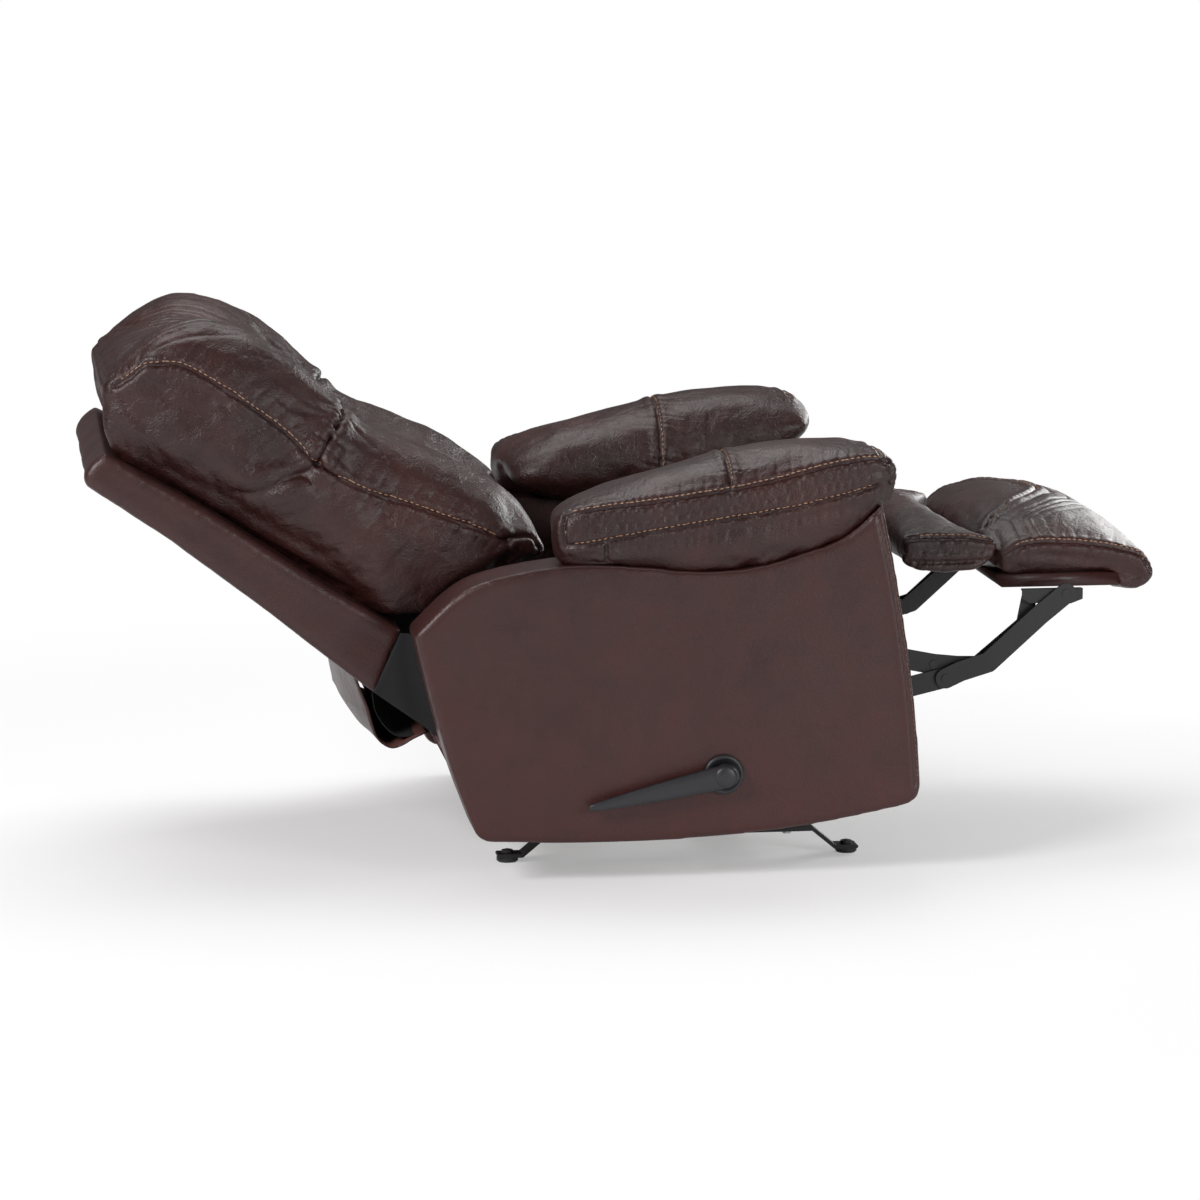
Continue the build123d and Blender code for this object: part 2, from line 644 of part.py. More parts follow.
def shell_outline():
    """The side of the outer back, a tapering wedge with rounded upper corners."""
    crown = Spline(SHELL_TOP[0], (-652, 573), SHELL_TOP[1])
    end = Polyline(SHELL_TOP[1], SHELL_FOOT, SHELL_TIP)
    tip = ThreePointArc(SHELL_TIP, (-823, 641), SHELL_TOP[0])
    return outline(crown, end, tip)


def along_back(reach, depth):
    """A point measured up the back from the foot of its shell and forwards from its skin."""
    start, end = Vector(*SHELL_FOOT), Vector(*SHELL_TIP)
    up = (end - start).normalized()
    front = Vector(up.Y, -up.X)
    spot = start + up * reach + front * depth
    return (spot.X, spot.Y)


BACK_RISE = SHELL_TIP[1] - SHELL_FOOT[1]
BACK_RUN = SHELL_TIP[0] - SHELL_FOOT[0]
BACK_ANGLE = math.degrees(math.atan2(BACK_RISE, BACK_RUN))
SHELL_FACE = shell_outline()
SHELL_INSIDE = SHELL_HALF_WIDTH - COVER_WALL
POST_Y = (PLATE_INNER - 8.5 - POST[0], PLATE_INNER - 8.5)
BRACKET_Y = (POST_Y[1], POST_Y[1] + HEAVY_PLATE)
BRACKET_WIDTH = 40.0
BRACKET_ELBOW = [along_back(32, 34)]


def back_bracket(side):
    """The steel plate that joins a back post to its hinge pin."""
    plate = bar([BACK_PIVOT, *BRACKET_ELBOW, along_back(170, 34)], BRACKET_WIDTH)
    plate -= Pos(*BACK_PIVOT) * Circle(HINGE_RADIUS + FIT)
    return slab(plate, side * BRACKET_Y[0], side * BRACKET_Y[1])


def outer_back():
    """The leather-covered outer back, a shallow tray that holds the frame of the back."""
    tray = slab(SHELL_FACE, -SHELL_HALF_WIDTH, SHELL_HALF_WIDTH)
    corners = ((10, SKIN), (545, SKIN), (545, 160), (10, 160))
    hollow = polygon(*[along_back(reach, depth) for reach, depth in corners])
    tray -= slab(hollow, -SHELL_INSIDE, SHELL_INSIDE)
    for _, side in SIDES:
        slot = bar([BACK_PIVOT, *BRACKET_ELBOW, along_back(60, 34)], BRACKET_WIDTH + 4)
        tray -= slab(slot, side * (BRACKET_Y[0] - 2), side * (BRACKET_Y[1] + 2))
    return tray


def back_member(reach_from, reach_to, y_from, y_to):
    """One hardwood member of the back frame, lying on the skin of the tray."""
    reach = (reach_from + reach_to) / 2
    centre = along_back(reach, SKIN + 1 + POST[1] / 2)
    return plank(centre, reach_to - reach_from, POST[1], y_from, y_to, BACK_ANGLE)


def back_strap(reach):
    """One webbing strap across the front of the back frame."""
    spot = along_back(reach, SKIN + 1 + POST[1] + 1.5)
    return plank(spot, *STRAP, -POST_Y[1], POST_Y[1], BACK_ANGLE)


def lumbar_cushion():
    """The lower back cushion, thick at the bottom and cut to clear the seat."""
    crown = Spline((-134, 526), (-187, 560), (-316, 629), (-400, 668), (-440, 686))
    heel = ThreePointArc((-128, 492), (-127, 510), (-134, 526))
    foot = Polyline((-440, 686), (-501, 478), (-352, 385), (-128, 492))
    face = outline(crown, foot, heel)
    return slab(face, -BACK_CUSHION_HALF_WIDTH, BACK_CUSHION_HALF_WIDTH)


def head_cushion():
    """The puffy head pillow above the lumbar cushion."""
    front = [(-447, 698), (-497, 764), (-566, 823)]
    rear = [(-664, 850), (-740, 826), (-797, 770), (-806, 672)]
    foot = Polyline(rear[-1], (-795, 664), (-652, 579), (-506, 484), front[0])
    face = outline(Spline(*front, *rear), foot)
    return slab(face, -BACK_CUSHION_HALF_WIDTH, BACK_CUSHION_HALF_WIDTH)


save("outer_back", outer_back())
FRAME_REACH = (12, 540)
POSTS = [back_member(*FRAME_REACH, side * POST_Y[0], side * POST_Y[1]) for _, side in SIDES]
save("back_posts", group(*POSTS))
CROSSES = ((12, 57), (250, 290), (500, 540))
RAILS = [back_member(low, high, -POST_Y[0], POST_Y[0]) for low, high in CROSSES]
save("back_rails", group(*RAILS))
save("back_straps", group(*[back_strap(reach) for reach in (110, 195, 345, 440)]))
save("back_brackets", pair(back_bracket))
save("lumbar_cushion", lumbar_cushion())
save("head_cushion", head_cushion())

# ---------------------------------------------------------------- footrest linkage
FLANGE = 2.5
BOARD_SIZE = (210.0, 2 * FOOTREST_HALF_WIDTH - 20, 18.0)
BOARD_X = 695.0
LONG_PATH = [LOWER_JOINT, (530, 292), (574, 305), (655, 378), REST_FRONT]
SHORT_PATH = [SHORT_JOINT, (560, 300), (634, 362), REST_REAR]


def link(path, width, y_inner, y_outer, holes, side):
    """A flat steel link with a hole at each pivot that it turns on."""
    shape = bar(path, width)
    for spot in holes:
        shape -= Pos(*spot) * Circle(RIVET_RADIUS + FIT)
    return slab(shape, side * y_inner, side * y_outer)


def footrest_bracket(side):
    """The angle under the footrest board that its links pivot on."""
    top = BOARD_BOTTOM
    web = polygon((628, top), (725, top), (725, 402), (706, 395), (640, 397), (628, 404))
    web -= Pos(*REST_FRONT) * Circle(RIVET_RADIUS + FIT)
    bracket = slab(web, side * LOWER_INNER, side * LOWER_OUTER)
    across = (side * (SHORT_OUTER + LAYER_GAP), side * LOWER_OUTER)
    flange = plank((676, top - FLANGE / 2), 96, FLANGE, *across, 0)
    flange -= pin(REST_FRONT, RIVET_RADIUS + 5, side * (LOWER_INNER - 8), side * LOWER_INNER)
    return bracket + flange


def footrest_cushion():
    """The footrest pad, wrapped over the front edge of its board."""
    crown = [(598, 472), (640, 506), (705, 520), (775, 508), (830, 474)]
    top = Spline((588, 440), *crown, (846, 440))
    nose = ThreePointArc((846, 440), (840, 420), (822, 413))
    under = Polyline((822, 413), (802, 413), (802, 440), (588, 440))
    return slab(outline(top, nose, under), -FOOTREST_HALF_WIDTH, FOOTREST_HALF_WIDTH)


def chaise_pad():
    """The bridging pad between the seat and the footrest, hinged at the seat."""
    top = Spline((443, 492), (480, 500), (520, 492))
    rest = Polyline((520, 492), (528, 476), (526, 446), (443, 444), (443, 492))
    return slab(outline(top, rest), -SEAT_HALF_WIDTH, SEAT_HALF_WIDTH)


LOWER_PATH = [LOWER_PIVOT, LOWER_JOINT]
UPPER_PATH = [UPPER_PIVOT, SHORT_JOINT, CROSS_JOINT]
LOWER_Y = (LOWER_INNER, LOWER_OUTER)
LONG_Y = (LONG_INNER, LONG_OUTER)
LONG_HOLES = (LOWER_JOINT, REST_FRONT)
for name, side in SIDES:
    save(f"lower_link_{name}", link(LOWER_PATH, LINK_WIDTH, *LOWER_Y, LOWER_PATH, side))
    save(f"long_link_{name}", link(LONG_PATH, LINK_WIDTH, *LONG_Y, LONG_HOLES, side))
UPPER = (UPPER_PATH, LINK_WIDTH, UPPER_INNER, UPPER_OUTER, (UPPER_PIVOT, SHORT_JOINT))
save("upper_links", pair(link, *UPPER))
SHORT = (SHORT_PATH, SHORT_LINK_WIDTH, SHORT_INNER, SHORT_OUTER, (SHORT_JOINT,))
save("short_links", pair(link, *SHORT))
save("footrest_brackets", pair(footrest_bracket))
OUTER_SPAN = (LOWER_INNER - 0.2, LONG_OUTER + 0.2)
INNER_SPAN = (SHORT_INNER - 0.2, UPPER_OUTER + 0.1)
for name, spot, span in (
    ("lower_link_rivets", LOWER_JOINT, OUTER_SPAN),
    ("upper_link_rivets", SHORT_JOINT, INNER_SPAN),
    ("footrest_rivets", REST_FRONT, OUTER_SPAN),
):
    save(name, group(*[rivet(spot, side, *span) for _, side in SIDES]))
save("footrest_board", Pos(BOARD_X, 0, BOARD_BOTTOM + BOARD_SIZE[2] / 2) * Box(*BOARD_SIZE))
save("footrest_cushion", footrest_cushion())
save("chaise_pad", chaise_pad())
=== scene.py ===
# %% [markdown]
# # A leather rocker recliner, reclined with its footrest out
# The mechanism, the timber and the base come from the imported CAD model, which never moves
# here. This lesson dresses it: padded leather over the arms, seat, back and footrest, seams
# and stitching, a moulded lever, and a finish for every steel, wood and cloth part. Lengths
# are written in millimetres, as an upholsterer would measure them, and turned to metres.

# %% Load the frame
import json
import math

import bmesh
import bpy
import numpy as np
from mathutils import Matrix, Vector, noise
from mathutils.bvhtree import BVHTree
from mathutils.kdtree import KDTree


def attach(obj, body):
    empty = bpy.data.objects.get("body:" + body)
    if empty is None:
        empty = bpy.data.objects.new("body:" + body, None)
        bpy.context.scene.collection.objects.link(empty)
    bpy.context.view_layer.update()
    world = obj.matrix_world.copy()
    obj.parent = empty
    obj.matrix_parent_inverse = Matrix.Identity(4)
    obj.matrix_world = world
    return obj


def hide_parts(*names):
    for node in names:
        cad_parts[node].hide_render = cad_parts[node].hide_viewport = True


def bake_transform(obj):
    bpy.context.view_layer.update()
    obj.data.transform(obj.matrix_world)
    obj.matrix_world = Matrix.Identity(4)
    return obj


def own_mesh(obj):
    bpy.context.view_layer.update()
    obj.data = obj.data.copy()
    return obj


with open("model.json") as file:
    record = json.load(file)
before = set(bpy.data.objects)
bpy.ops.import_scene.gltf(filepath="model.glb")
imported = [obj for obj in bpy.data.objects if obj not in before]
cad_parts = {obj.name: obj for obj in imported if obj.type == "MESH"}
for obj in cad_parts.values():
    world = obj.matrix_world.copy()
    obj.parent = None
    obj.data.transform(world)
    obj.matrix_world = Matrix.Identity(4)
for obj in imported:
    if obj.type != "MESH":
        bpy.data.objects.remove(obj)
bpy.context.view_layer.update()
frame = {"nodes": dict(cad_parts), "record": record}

MM = 0.001
scene = bpy.context.scene

# %% [markdown]
# ## Camera, floor and light
# The chair is seen from its right side, slightly from behind and a little above, with a long
# lens so that nothing looks stretched. A floor that runs far back and a bright, even sky give
# the plain studio look; a broad overhead light draws the grey sheen along the top surfaces,
# and a second one from the camera's left rakes across the side so that wrinkles show.

# %% Camera


def aim(thing, target):
    """Turn a camera or lamp so that it looks at a point."""
    thing.rotation_euler = (Vector(target) - thing.location).to_track_quat("-Z", "Y").to_euler()


TARGET = Vector((0.0, 0.0, 0.3686))
azimuth, elevation, reach = math.radians(-7.7), math.radians(9.0), 7.35
camera = bpy.data.objects.new("camera", bpy.data.cameras.new("camera"))
scene.collection.objects.link(camera)
camera.location = TARGET + reach * Vector(
    (
        math.sin(azimuth) * math.cos(elevation),
        -math.cos(azimuth) * math.cos(elevation),
        math.sin(elevation),
    )
)
aim(camera, TARGET)
camera.data.lens = 136.5
camera.data.sensor_width = 36.0
camera.data.clip_end = 300.0
scene.camera = camera
print("camera at", [round(v, 2) for v in camera.location])

# %% Lamps and sky


def softbox(name, place, target, size, power, tint=(1.0, 1.0, 1.0)):
    """A large rectangular lamp that points at a spot on the chair."""
    lamp = bpy.data.lights.new(name, "AREA")
    lamp.shape = "RECTANGLE"
    lamp.size, lamp.size_y = size
    lamp.energy = power
    lamp.color = tint
    holder = bpy.data.objects.new(name, lamp)
    scene.collection.objects.link(holder)
    holder.location = place
    aim(holder, target)
    return holder


softbox("overhead", (-0.4, 0.9, 3.3), (0.0, 0.0, 0.4), (3.0, 1.8), 60.0)
softbox("left_key", (-3.4, -3.0, 2.9), (0.0, 0.0, 0.4), (1.5, 1.5), 180.0, (1.0, 0.97, 0.98))
softbox("right_fill", (3.0, -4.2, 1.6), (0.2, 0.0, 0.4), (1.6, 1.6), 85.0)
softbox("back_right", (3.2, 2.6, 1.7), (0.4, 0.0, 0.5), (2.4, 1.8), 105.0)
WORLD_LIGHT, WORLD_SEEN = 0.15, 1.0
world = bpy.data.worlds.new("studio")
scene.world = world
world.use_nodes = True
sky = world.node_tree
sky.nodes["Background"].inputs["Color"].default_value = (1.0, 1.0, 1.0, 1.0)
ray = sky.nodes.new("ShaderNodeLightPath")
strength = sky.nodes.new("ShaderNodeMapRange")
strength.inputs["To Min"].default_value = WORLD_LIGHT
strength.inputs["To Max"].default_value = WORLD_SEEN
sky.links.new(ray.outputs["Is Camera Ray"], strength.inputs["Value"])
sky.links.new(strength.outputs["Result"], sky.nodes["Background"].inputs["Strength"])
scene.view_settings.view_transform = "Standard"

# %% [markdown]
# ## A way to write finishes
# A finish is a small graph of nodes. Wiring it by hand is slow to read, so one class wraps a
# socket and turns ordinary sums into Math nodes, and one method makes every other node from
# its type, its settings and its inputs. A finish then reads like a recipe.

# %% Shader helpers


class Flow:
    """A socket that adds Math nodes when it is used in a sum."""

    def __init__(self, finish, socket):
        self.finish, self.socket = finish, socket

    def _math(self, operation, first, second):
        return self.finish.node("ShaderNodeMath", {"operation": operation}, {0: first, 1: second})

    def __add__(self, other):
        return self._math("ADD", self, other)

    def __radd__(self, other):
        return self._math("ADD", other, self)

    def __sub__(self, other):
        return self._math("SUBTRACT", self, other)

    def __rsub__(self, other):
        return self._math("SUBTRACT", other, self)

    def __mul__(self, other):
        return self._math("MULTIPLY", self, other)

    def __rmul__(self, other):
        return self._math("MULTIPLY", other, self)

    def __pow__(self, other):
        return self._math("POWER", self, other)


class Finish:
    """One procedural material, built node by node."""

    def __init__(self, name):
        self.material = bpy.data.materials.new(name)
        self.material.use_nodes = True
        self.tree = self.material.node_tree
        self.tree.nodes.clear()

    def node(self, kind, settings=None, sockets=None, out=0):
        made = self.tree.nodes.new(kind)
        for key, value in (settings or {}).items():
            if key == "stops":
                ramp = made.color_ramp
                while len(ramp.elements) > 1:
                    ramp.elements.remove(ramp.elements[-1])
                ramp.elements[0].position, ramp.elements[0].color = value[0]
                for place, colour in value[1:]:
                    ramp.elements.new(place).color = colour
            else:
                setattr(made, key, value)
        for key, value in (sockets or {}).items():
            if isinstance(value, Flow):
                self.tree.links.new(value.socket, made.inputs[key])
            else:
                made.inputs[key].default_value = value
        return Flow(self, made.outputs[out]) if len(made.outputs) else None

    def place(self, scale=(1, 1, 1)):
        spot = self.node("ShaderNodeTexCoord", out=3)
        return self.node("ShaderNodeMapping", None, {"Vector": spot, "Scale": scale})

    def cloud(self, scale, detail=3.0, rough=0.55, where=None, distort=0.0):
        where = where or self.place()
        inputs = {"Vector": where, "Scale": scale, "Detail": detail, "Roughness": rough}
        inputs["Distortion"] = distort
        return self.node("ShaderNodeTexNoise", None, inputs)

    def between(self, low, high, amount):
        return self.node(
            "ShaderNodeMix",
            {"data_type": "RGBA"},
            {
                0: amount, 6: (*low, 1), 7: (*high, 1)
            } if not isinstance(low, Flow) else {0: amount, 6: low, 7: (*high, 1)},
            out=2,
        )

    def bump(self, height, strength, distance, under=None):
        inputs = {"Height": height, "Strength": strength, "Distance": distance}
        if under:
            inputs["Normal"] = under
        return self.node("ShaderNodeBump", None, inputs)

    def surface(self, **sockets):
        names = {key.replace("_", " ").title(): value for key, value in sockets.items()}
        names = {key.replace("Ior", "IOR"): value for key, value in names.items()}
        shader = self.node("ShaderNodeBsdfPrincipled", None, names)
        self.node("ShaderNodeOutputMaterial", None, {"Surface": shader})
        return self.material


# %% [markdown]
# ## Leather
# Real chair leather has a fine pebble grain, broad soft wrinkles and a finish that is rubbed
# darker and redder in places. The grain is a cell pattern at about 2 mm, the wrinkles a
# stretched noise, and both only feed the bump. The colour drifts between three browns. The
# flat side panels use a smoother, more mottled hide than the soft cushions, and carry a
# painted floor reflection: their lower parts turn warmer and redder towards the floor.

# %% Leather finishes


def leather(name, deep, mid, warm, grain, crease, gloss, mottle, floor_reflection_warmth=0.0):
    """Dark leather with pebble grain, creases and drifting colour."""
    f = Finish(name)
    drift = f.cloud(4.5, 4.0, 0.6)
    patch = f.cloud(17.0, 5.0, 0.65, distort=0.4)
    fine = f.cloud(240.0, 2.0, 0.6)
    base = f.node(
        "ShaderNodeValToRGB",
        {"stops": [(0.36, (*deep, 1)), (0.52, (*mid, 1)), (0.68, (*warm, 1))]},
        {"Fac": drift * (1 - mottle) + patch * mottle},
    )
    # painted floor reflection: below 0.42 m the hide turns warmer and redder, in patches, the nearer it is to
    # the floor
    if floor_reflection_warmth:
        up = f.node("ShaderNodeSeparateXYZ", None, {0: f.node("ShaderNodeTexCoord", out=3)}, out=2)
        low = f.node(
            "ShaderNodeMapRange",
            {"interpolation_type": "SMOOTHSTEP"},
            {0: up, 1: 0.08, 2: 0.42, 3: 1.0, 4: 0.0},
        )
        base = f.between(base, tuple(1.35 * v for v in warm), low * patch * floor_reflection_warmth)
    tone = f.between(
        base, tuple(0.55 * v for v in deep),
        f.node("ShaderNodeMapRange", None, {0: fine, 1: 0.42, 2: 0.2, 3: 0.0, 4: 0.5})
    )
    cells = f.node(
        "ShaderNodeTexVoronoi",
        {"feature": "SMOOTH_F1"},
        {"Vector": f.place(), "Scale": 430.0, "Smoothness": 0.6},
    )
    folds = f.cloud(34.0, 6.0, 0.6, distort=1.4)
    broad = f.bump(folds, crease, 0.006)
    pores = f.bump(cells + 0.5 * fine, grain, 0.0011, broad)
    rough = gloss + 0.16 * (patch - 0.5) + 0.1 * (fine - 0.5)
    return f.surface(
        base_color=tone,
        roughness=rough,
        normal=pores,
        specular_ior_level=0.42,
        coat_weight=0.12,
        coat_roughness=0.32,
    )


SOFT = leather(
    "soft_leather", (0.017, 0.0048, 0.0040), (0.029, 0.0080, 0.0064), (0.046, 0.0118, 0.0084), 0.50,
    0.50, 0.40, 0.35
)
# the last figure of the panel leather sets how strongly the painted floor reflection reddens the lower panels
SMOOTH = leather(
    "panel_leather", (0.028, 0.0088, 0.0078), (0.037, 0.0112, 0.0098), (0.046, 0.0095, 0.0074),
    0.30, 0.12, 0.43, 0.55, 0.85
)
print("leathers ready")

# %% [markdown]
# ## Thread, suede, cloth, steel, plastic and wood
# The small finishes matter because the underside is open to view: tan polished thread,
# the suede back of the hanging flap, black woven dust cloth, black enamelled steel with a
# little dust, zinc bolts, oiled springs, moulded charcoal plastic and pale rough timber.

# %% Small finishes


def thread(name, dim):
    f = Finish(name)
    twist = f.cloud(900.0, 2.0)
    colour = f.between(
        (0.30 * dim, 0.15 * dim, 0.08 * dim), (0.56 * dim, 0.34 * dim, 0.21 * dim), twist
    )
    return f.surface(base_color=colour, roughness=0.62, normal=f.bump(twist, 0.4, 0.0004))


def suede():
    f = Finish("suede_back")
    nap = f.cloud(320.0, 4.0, 0.7)
    colour = f.between(
        (0.07, 0.022, 0.016), (0.15, 0.052, 0.036), f.cloud(11.0, 5.0) * 0.7 + nap * 0.3
    )
    return f.surface(base_color=colour, roughness=0.93, normal=f.bump(nap, 0.5, 0.0012))


def dust_cloth():
    f = Finish("black_dust_cloth")
    weave = f.node(
        "ShaderNodeTexWave", {"bands_direction": "X"}, {"Vector": f.place(), "Scale": 260.0}
    )
    weft = f.node(
        "ShaderNodeTexWave", {"bands_direction": "Y"}, {"Vector": f.place(), "Scale": 260.0}
    )
    colour = f.between((0.008, 0.008, 0.009), (0.026, 0.025, 0.027), weave * weft)
    return f.surface(base_color=colour, roughness=0.9, normal=f.bump(weave * weft, 0.5, 0.0006))


def enamel(name, low, high, rough, metal, scale=90.0):
    """Painted or plated steel: slightly orange-peeled, dusty in patches."""
    f = Finish(name)
    peel = f.cloud(scale * 6, 2.0)
    dust = f.cloud(scale / 6, 5.0, 0.65)
    colour = f.between(low, high, dust)
    return f.surface(
        base_color=colour,
        roughness=rough + 0.22 * (dust - 0.5),
        metallic=metal,
        normal=f.bump(peel, 0.18, 0.0004),
    )


def timber():
    f = Finish("frame_timber")
    grain = f.cloud(9.0, 6.0, 0.6, f.place((1.0, 9.0, 9.0)), 0.6)
    pores = f.cloud(80.0, 3.0, 0.6, f.place((1.0, 12.0, 12.0)))
    colour = f.node(
        "ShaderNodeValToRGB",
        {
            "stops": [(0.32, (0.33, 0.2, 0.105, 1)), (0.52, (0.52, 0.36, 0.21, 1)), (0.7, (0.62, 0.46, 0.29, 1))]
        },
        {"Fac": grain * 0.75 + pores * 0.25},
    )
    return f.surface(base_color=colour, roughness=0.72, normal=f.bump(pores, 0.3, 0.001))


# the darker thread is the same tan at 0.3 of its brightness, used on the front seams of the arm panels
THREAD, DIM_THREAD = thread("tan_thread", 1.0), thread("darker_thread", 0.3)
SUEDE, DUST = suede(), dust_cloth()
STEEL = enamel("black_enamel", (0.006, 0.006, 0.007), (0.014, 0.014, 0.016), 0.45, 0.0)
SPRING = enamel("oiled_spring", (0.16, 0.16, 0.165), (0.34, 0.335, 0.33), 0.36, 0.95)
ZINC = enamel("zinc_plate", (0.42, 0.43, 0.45), (0.62, 0.62, 0.63), 0.33, 0.95)
PLASTIC = enamel("charcoal_plastic", (0.014, 0.014, 0.016), (0.023, 0.023, 0.026), 0.40, 0.0, 160.0)
WOOD = timber()
print("finishes", len(bpy.data.materials))

# %% [markdown]
# ## Finish every part of the frame
# The record names a slot for each CAD part, so one table from slot to finish dresses them all.
# Leather parts of the frame get the soft leather too, although a modelled piece will stand in
# for each of them below.

# %% Dress the frame
BY_SLOT = {
    "leather": SOFT,
    "frame_wood": WOOD,
    "black_plastic": PLASTIC,
    "dust_cloth": DUST,
    "spring_steel": SPRING,
    "zinc_steel": ZINC,
    "black_steel": STEEL,
}
for part in frame["record"]["subparts"]:
    node = frame["nodes"][part["node"]]
    node.data.materials.clear()
    node.data.materials.append(BY_SLOT[part["material_slot"]])
print("dressed", len(frame["nodes"]), "frame parts")

# %% [markdown]
# ## Shaping tools
# Every soft piece starts the same way: a few outlines are joined ring to ring into a closed
# cage, a voxel remesh gives it even small faces, and smoothing takes away the corners. Then
# the Cloth solver blows it up like a stuffed cover while its seams are pinned, so the leather
# swells between them. Doing this with bridge loops and a remesh is quicker than box modelling
# and every piece shares it.

# %% Cage, remesh and smooth


def finished(bm, name, material):
    """Turn a bmesh into an object at the origin with one finish."""
    bmesh.ops.remove_doubles(bm, verts=bm.verts[:], dist=1e-6)
    bmesh.ops.recalc_face_normals(bm, faces=bm.faces[:])
    mesh = bpy.data.meshes.new(name)
    bm.to_mesh(mesh)
    bm.free()
    for face in mesh.polygons:
        face.use_smooth = True
    piece = bpy.data.objects.new(name, mesh)
    scene.collection.objects.link(piece)
    mesh.materials.append(material)
    return piece


def cage(name, rings, material):
    """A closed skin through rings of points in millimetres, capped at both ends."""
    bm = bmesh.new()
    loops = []
    for ring in rings:
        verts = [bm.verts.new(Vector(p) * MM) for p in ring]
        loops.append([bm.edges.new((a, b)) for a, b in zip(verts, verts[1:] + verts[:1])])
    for near, far in zip(loops, loops[1:]):
        bmesh.ops.bridge_loops(bm, edges=near + far)
    for end in (loops[0], loops[-1]):
        bmesh.ops.contextual_create(bm, geom=end)
    return finished(bm, name, material)


def points_of(piece):
    co = np.empty(len(piece.data.vertices) * 3, np.float32)
    piece.data.vertices.foreach_get("co", co)
    return co.reshape(-1, 3).astype(float)


def normals_of(piece):
    no = np.empty(len(piece.data.vertices) * 3, np.float32)
    piece.data.vertices.foreach_get("normal", no)
    return no.reshape(-1, 3).astype(float)


def set_points(piece, co):
    piece.data.vertices.foreach_set("co", co.astype(np.float32).ravel())
    piece.data.update()


def bake_modifiers(piece):
    """Replace a piece's mesh by what its modifiers show."""
    shown = piece.evaluated_get(bpy.context.evaluated_depsgraph_get())
    mesh = bpy.data.meshes.new_from_object(shown)
    piece.modifiers.clear()
    piece.data = mesh
    for face in mesh.polygons:
        face.use_smooth = True


def even_mesh(piece, voxel, passes):
    """Small even faces all over, with the voxel steps smoothed away."""
    remesh = piece.modifiers.new("Even", "REMESH")
    remesh.mode = "VOXEL"
    remesh.voxel_size = voxel * MM
    bake_modifiers(piece)
    bm = bmesh.new()
    bm.from_mesh(piece.data)
    for _ in range(passes):
        bmesh.ops.smooth_vert(
            bm, verts=bm.verts[:], factor=0.5, use_axis_x=True, use_axis_y=True, use_axis_z=True
        )
    bm.to_mesh(piece.data)
    bm.free()
    return piece


# %% [markdown]
# ## Stuffing
# Cloth with pressure and no gravity swells a closed mesh like a filled cover. The vertices near
# a seam are pinned, because the real seam holds the hide down. Twenty frames are enough, and a
# cap keeps any point from wandering far from the shape it started with.

# %% Stuff a cover


def stuff(piece, seams, cap, pressure=4.0, hold=14.0):
    """Blow a cover up between its seams, and keep the result in the mesh."""
    rest = points_of(piece)
    tree = KDTree(sum(len(s) for s in seams) or 1)
    count = 0
    for seam in seams:
        for p in seam:
            tree.insert(Vector(p) * MM, count)
            count += 1
    tree.balance()
    group = piece.vertex_groups.new(name="sewn")
    for i, p in enumerate(rest):
        if count and tree.find(Vector(p))[2] < hold * MM:
            group.add([i], 1.0, "REPLACE")
    cover = piece.modifiers.new("Cover", "CLOTH")
    cloth = cover.settings
    cloth.quality = 4
    cloth.mass = 0.4
    cloth.tension_stiffness = cloth.compression_stiffness = 22
    cloth.shear_stiffness = 9
    cloth.bending_stiffness = 1.2
    cloth.use_pressure = True
    cloth.uniform_pressure_force = pressure
    cloth.effector_weights.gravity = 0.0
    cloth.vertex_group_mass = "sewn"
    cloth.pin_stiffness = 1.0
    cover.collision_settings.use_collision = False
    cover.point_cache.frame_start, cover.point_cache.frame_end = 1, 20
    for step in range(1, 21):
        scene.frame_set(step)
    bake_modifiers(piece)
    moved = points_of(piece) - rest
    length = np.linalg.norm(moved, axis=1, keepdims=True)
    limit = cap * MM
    moved *= np.minimum(1.0, limit / np.maximum(length, 1e-9))
    set_points(piece, rest + moved)
    scene.frame_set(1)
    print(piece.name, "stuffed, most moved", round(float(length.max()) * 1000, 1), "mm")
    return piece


# %% [markdown]
# ## Seams
# A sewn seam does three things that the eye reads at once: it makes a tight dark groove, the
# hide swells beside it, and short gathers run away from it. All three are worked out from each
# vertex's distance to the seam and its place along it, after the mesh has its last subdivision.
# The thread is then laid as real little stitches a few millimetres to one side of the groove,
# which stay crisp at any distance where a painted pattern would blur.

# %% Sew grooves and gathers


def run_along(points, step=3.0):
    """Evenly spaced points along a line through the given ones, gently rounded."""
    pts = np.array(points, float)
    dense = []
    padded = np.vstack([2 * pts[0] - pts[1], pts, 2 * pts[-1] - pts[-2]])
    for i in range(1, len(padded) - 2):
        a, b, c, d = padded[i - 1 : i + 3]
        for t in np.linspace(0, 1, 24, endpoint=False):
            dense.append(
                0.5 * (
                    (2 * b) + (c - a) * t + (
                        2 * a - 5 * b + 4 * c - d
                    ) * t**2 + (3 * b - a - 3 * c + d) * t**3
                )
            )
    dense.append(pts[-1])
    dense = np.array(dense)
    along = np.concatenate([[0], np.cumsum(np.linalg.norm(np.diff(dense, axis=0), axis=1))])
    count = max(2, int(along[-1] / step))
    spots = np.linspace(0, along[-1], count)
    return np.stack([np.interp(spots, along, dense[:, k]) for k in range(3)], axis=1)


def surface_of(piece):
    mesh = piece.data
    return BVHTree.FromPolygons([v.co for v in mesh.vertices], [p.vertices for p in mesh.polygons])


def on_skin(tree, points):
    """Each point moved to the nearest place on the skin, with the normal there."""
    return [tree.find_nearest(Vector(p) * MM)[:2] for p in points]


def crimp(s, seed, wave):
    """Uneven gathers along a seam: rounded puffs with narrow creases between them."""
    shift = noise.noise(Vector((s / 95.0, seed * 7.3, 0.0))) * 2.2
    beat = abs(math.sin(math.pi * s / wave + 3.0 * shift))
    size = 0.45 + 0.9 * abs(noise.noise(Vector((s / 60.0, seed * 3.1, 4.0))))
    return (1.0 - 1.9 * (1.0 - beat) ** 2.5) * size


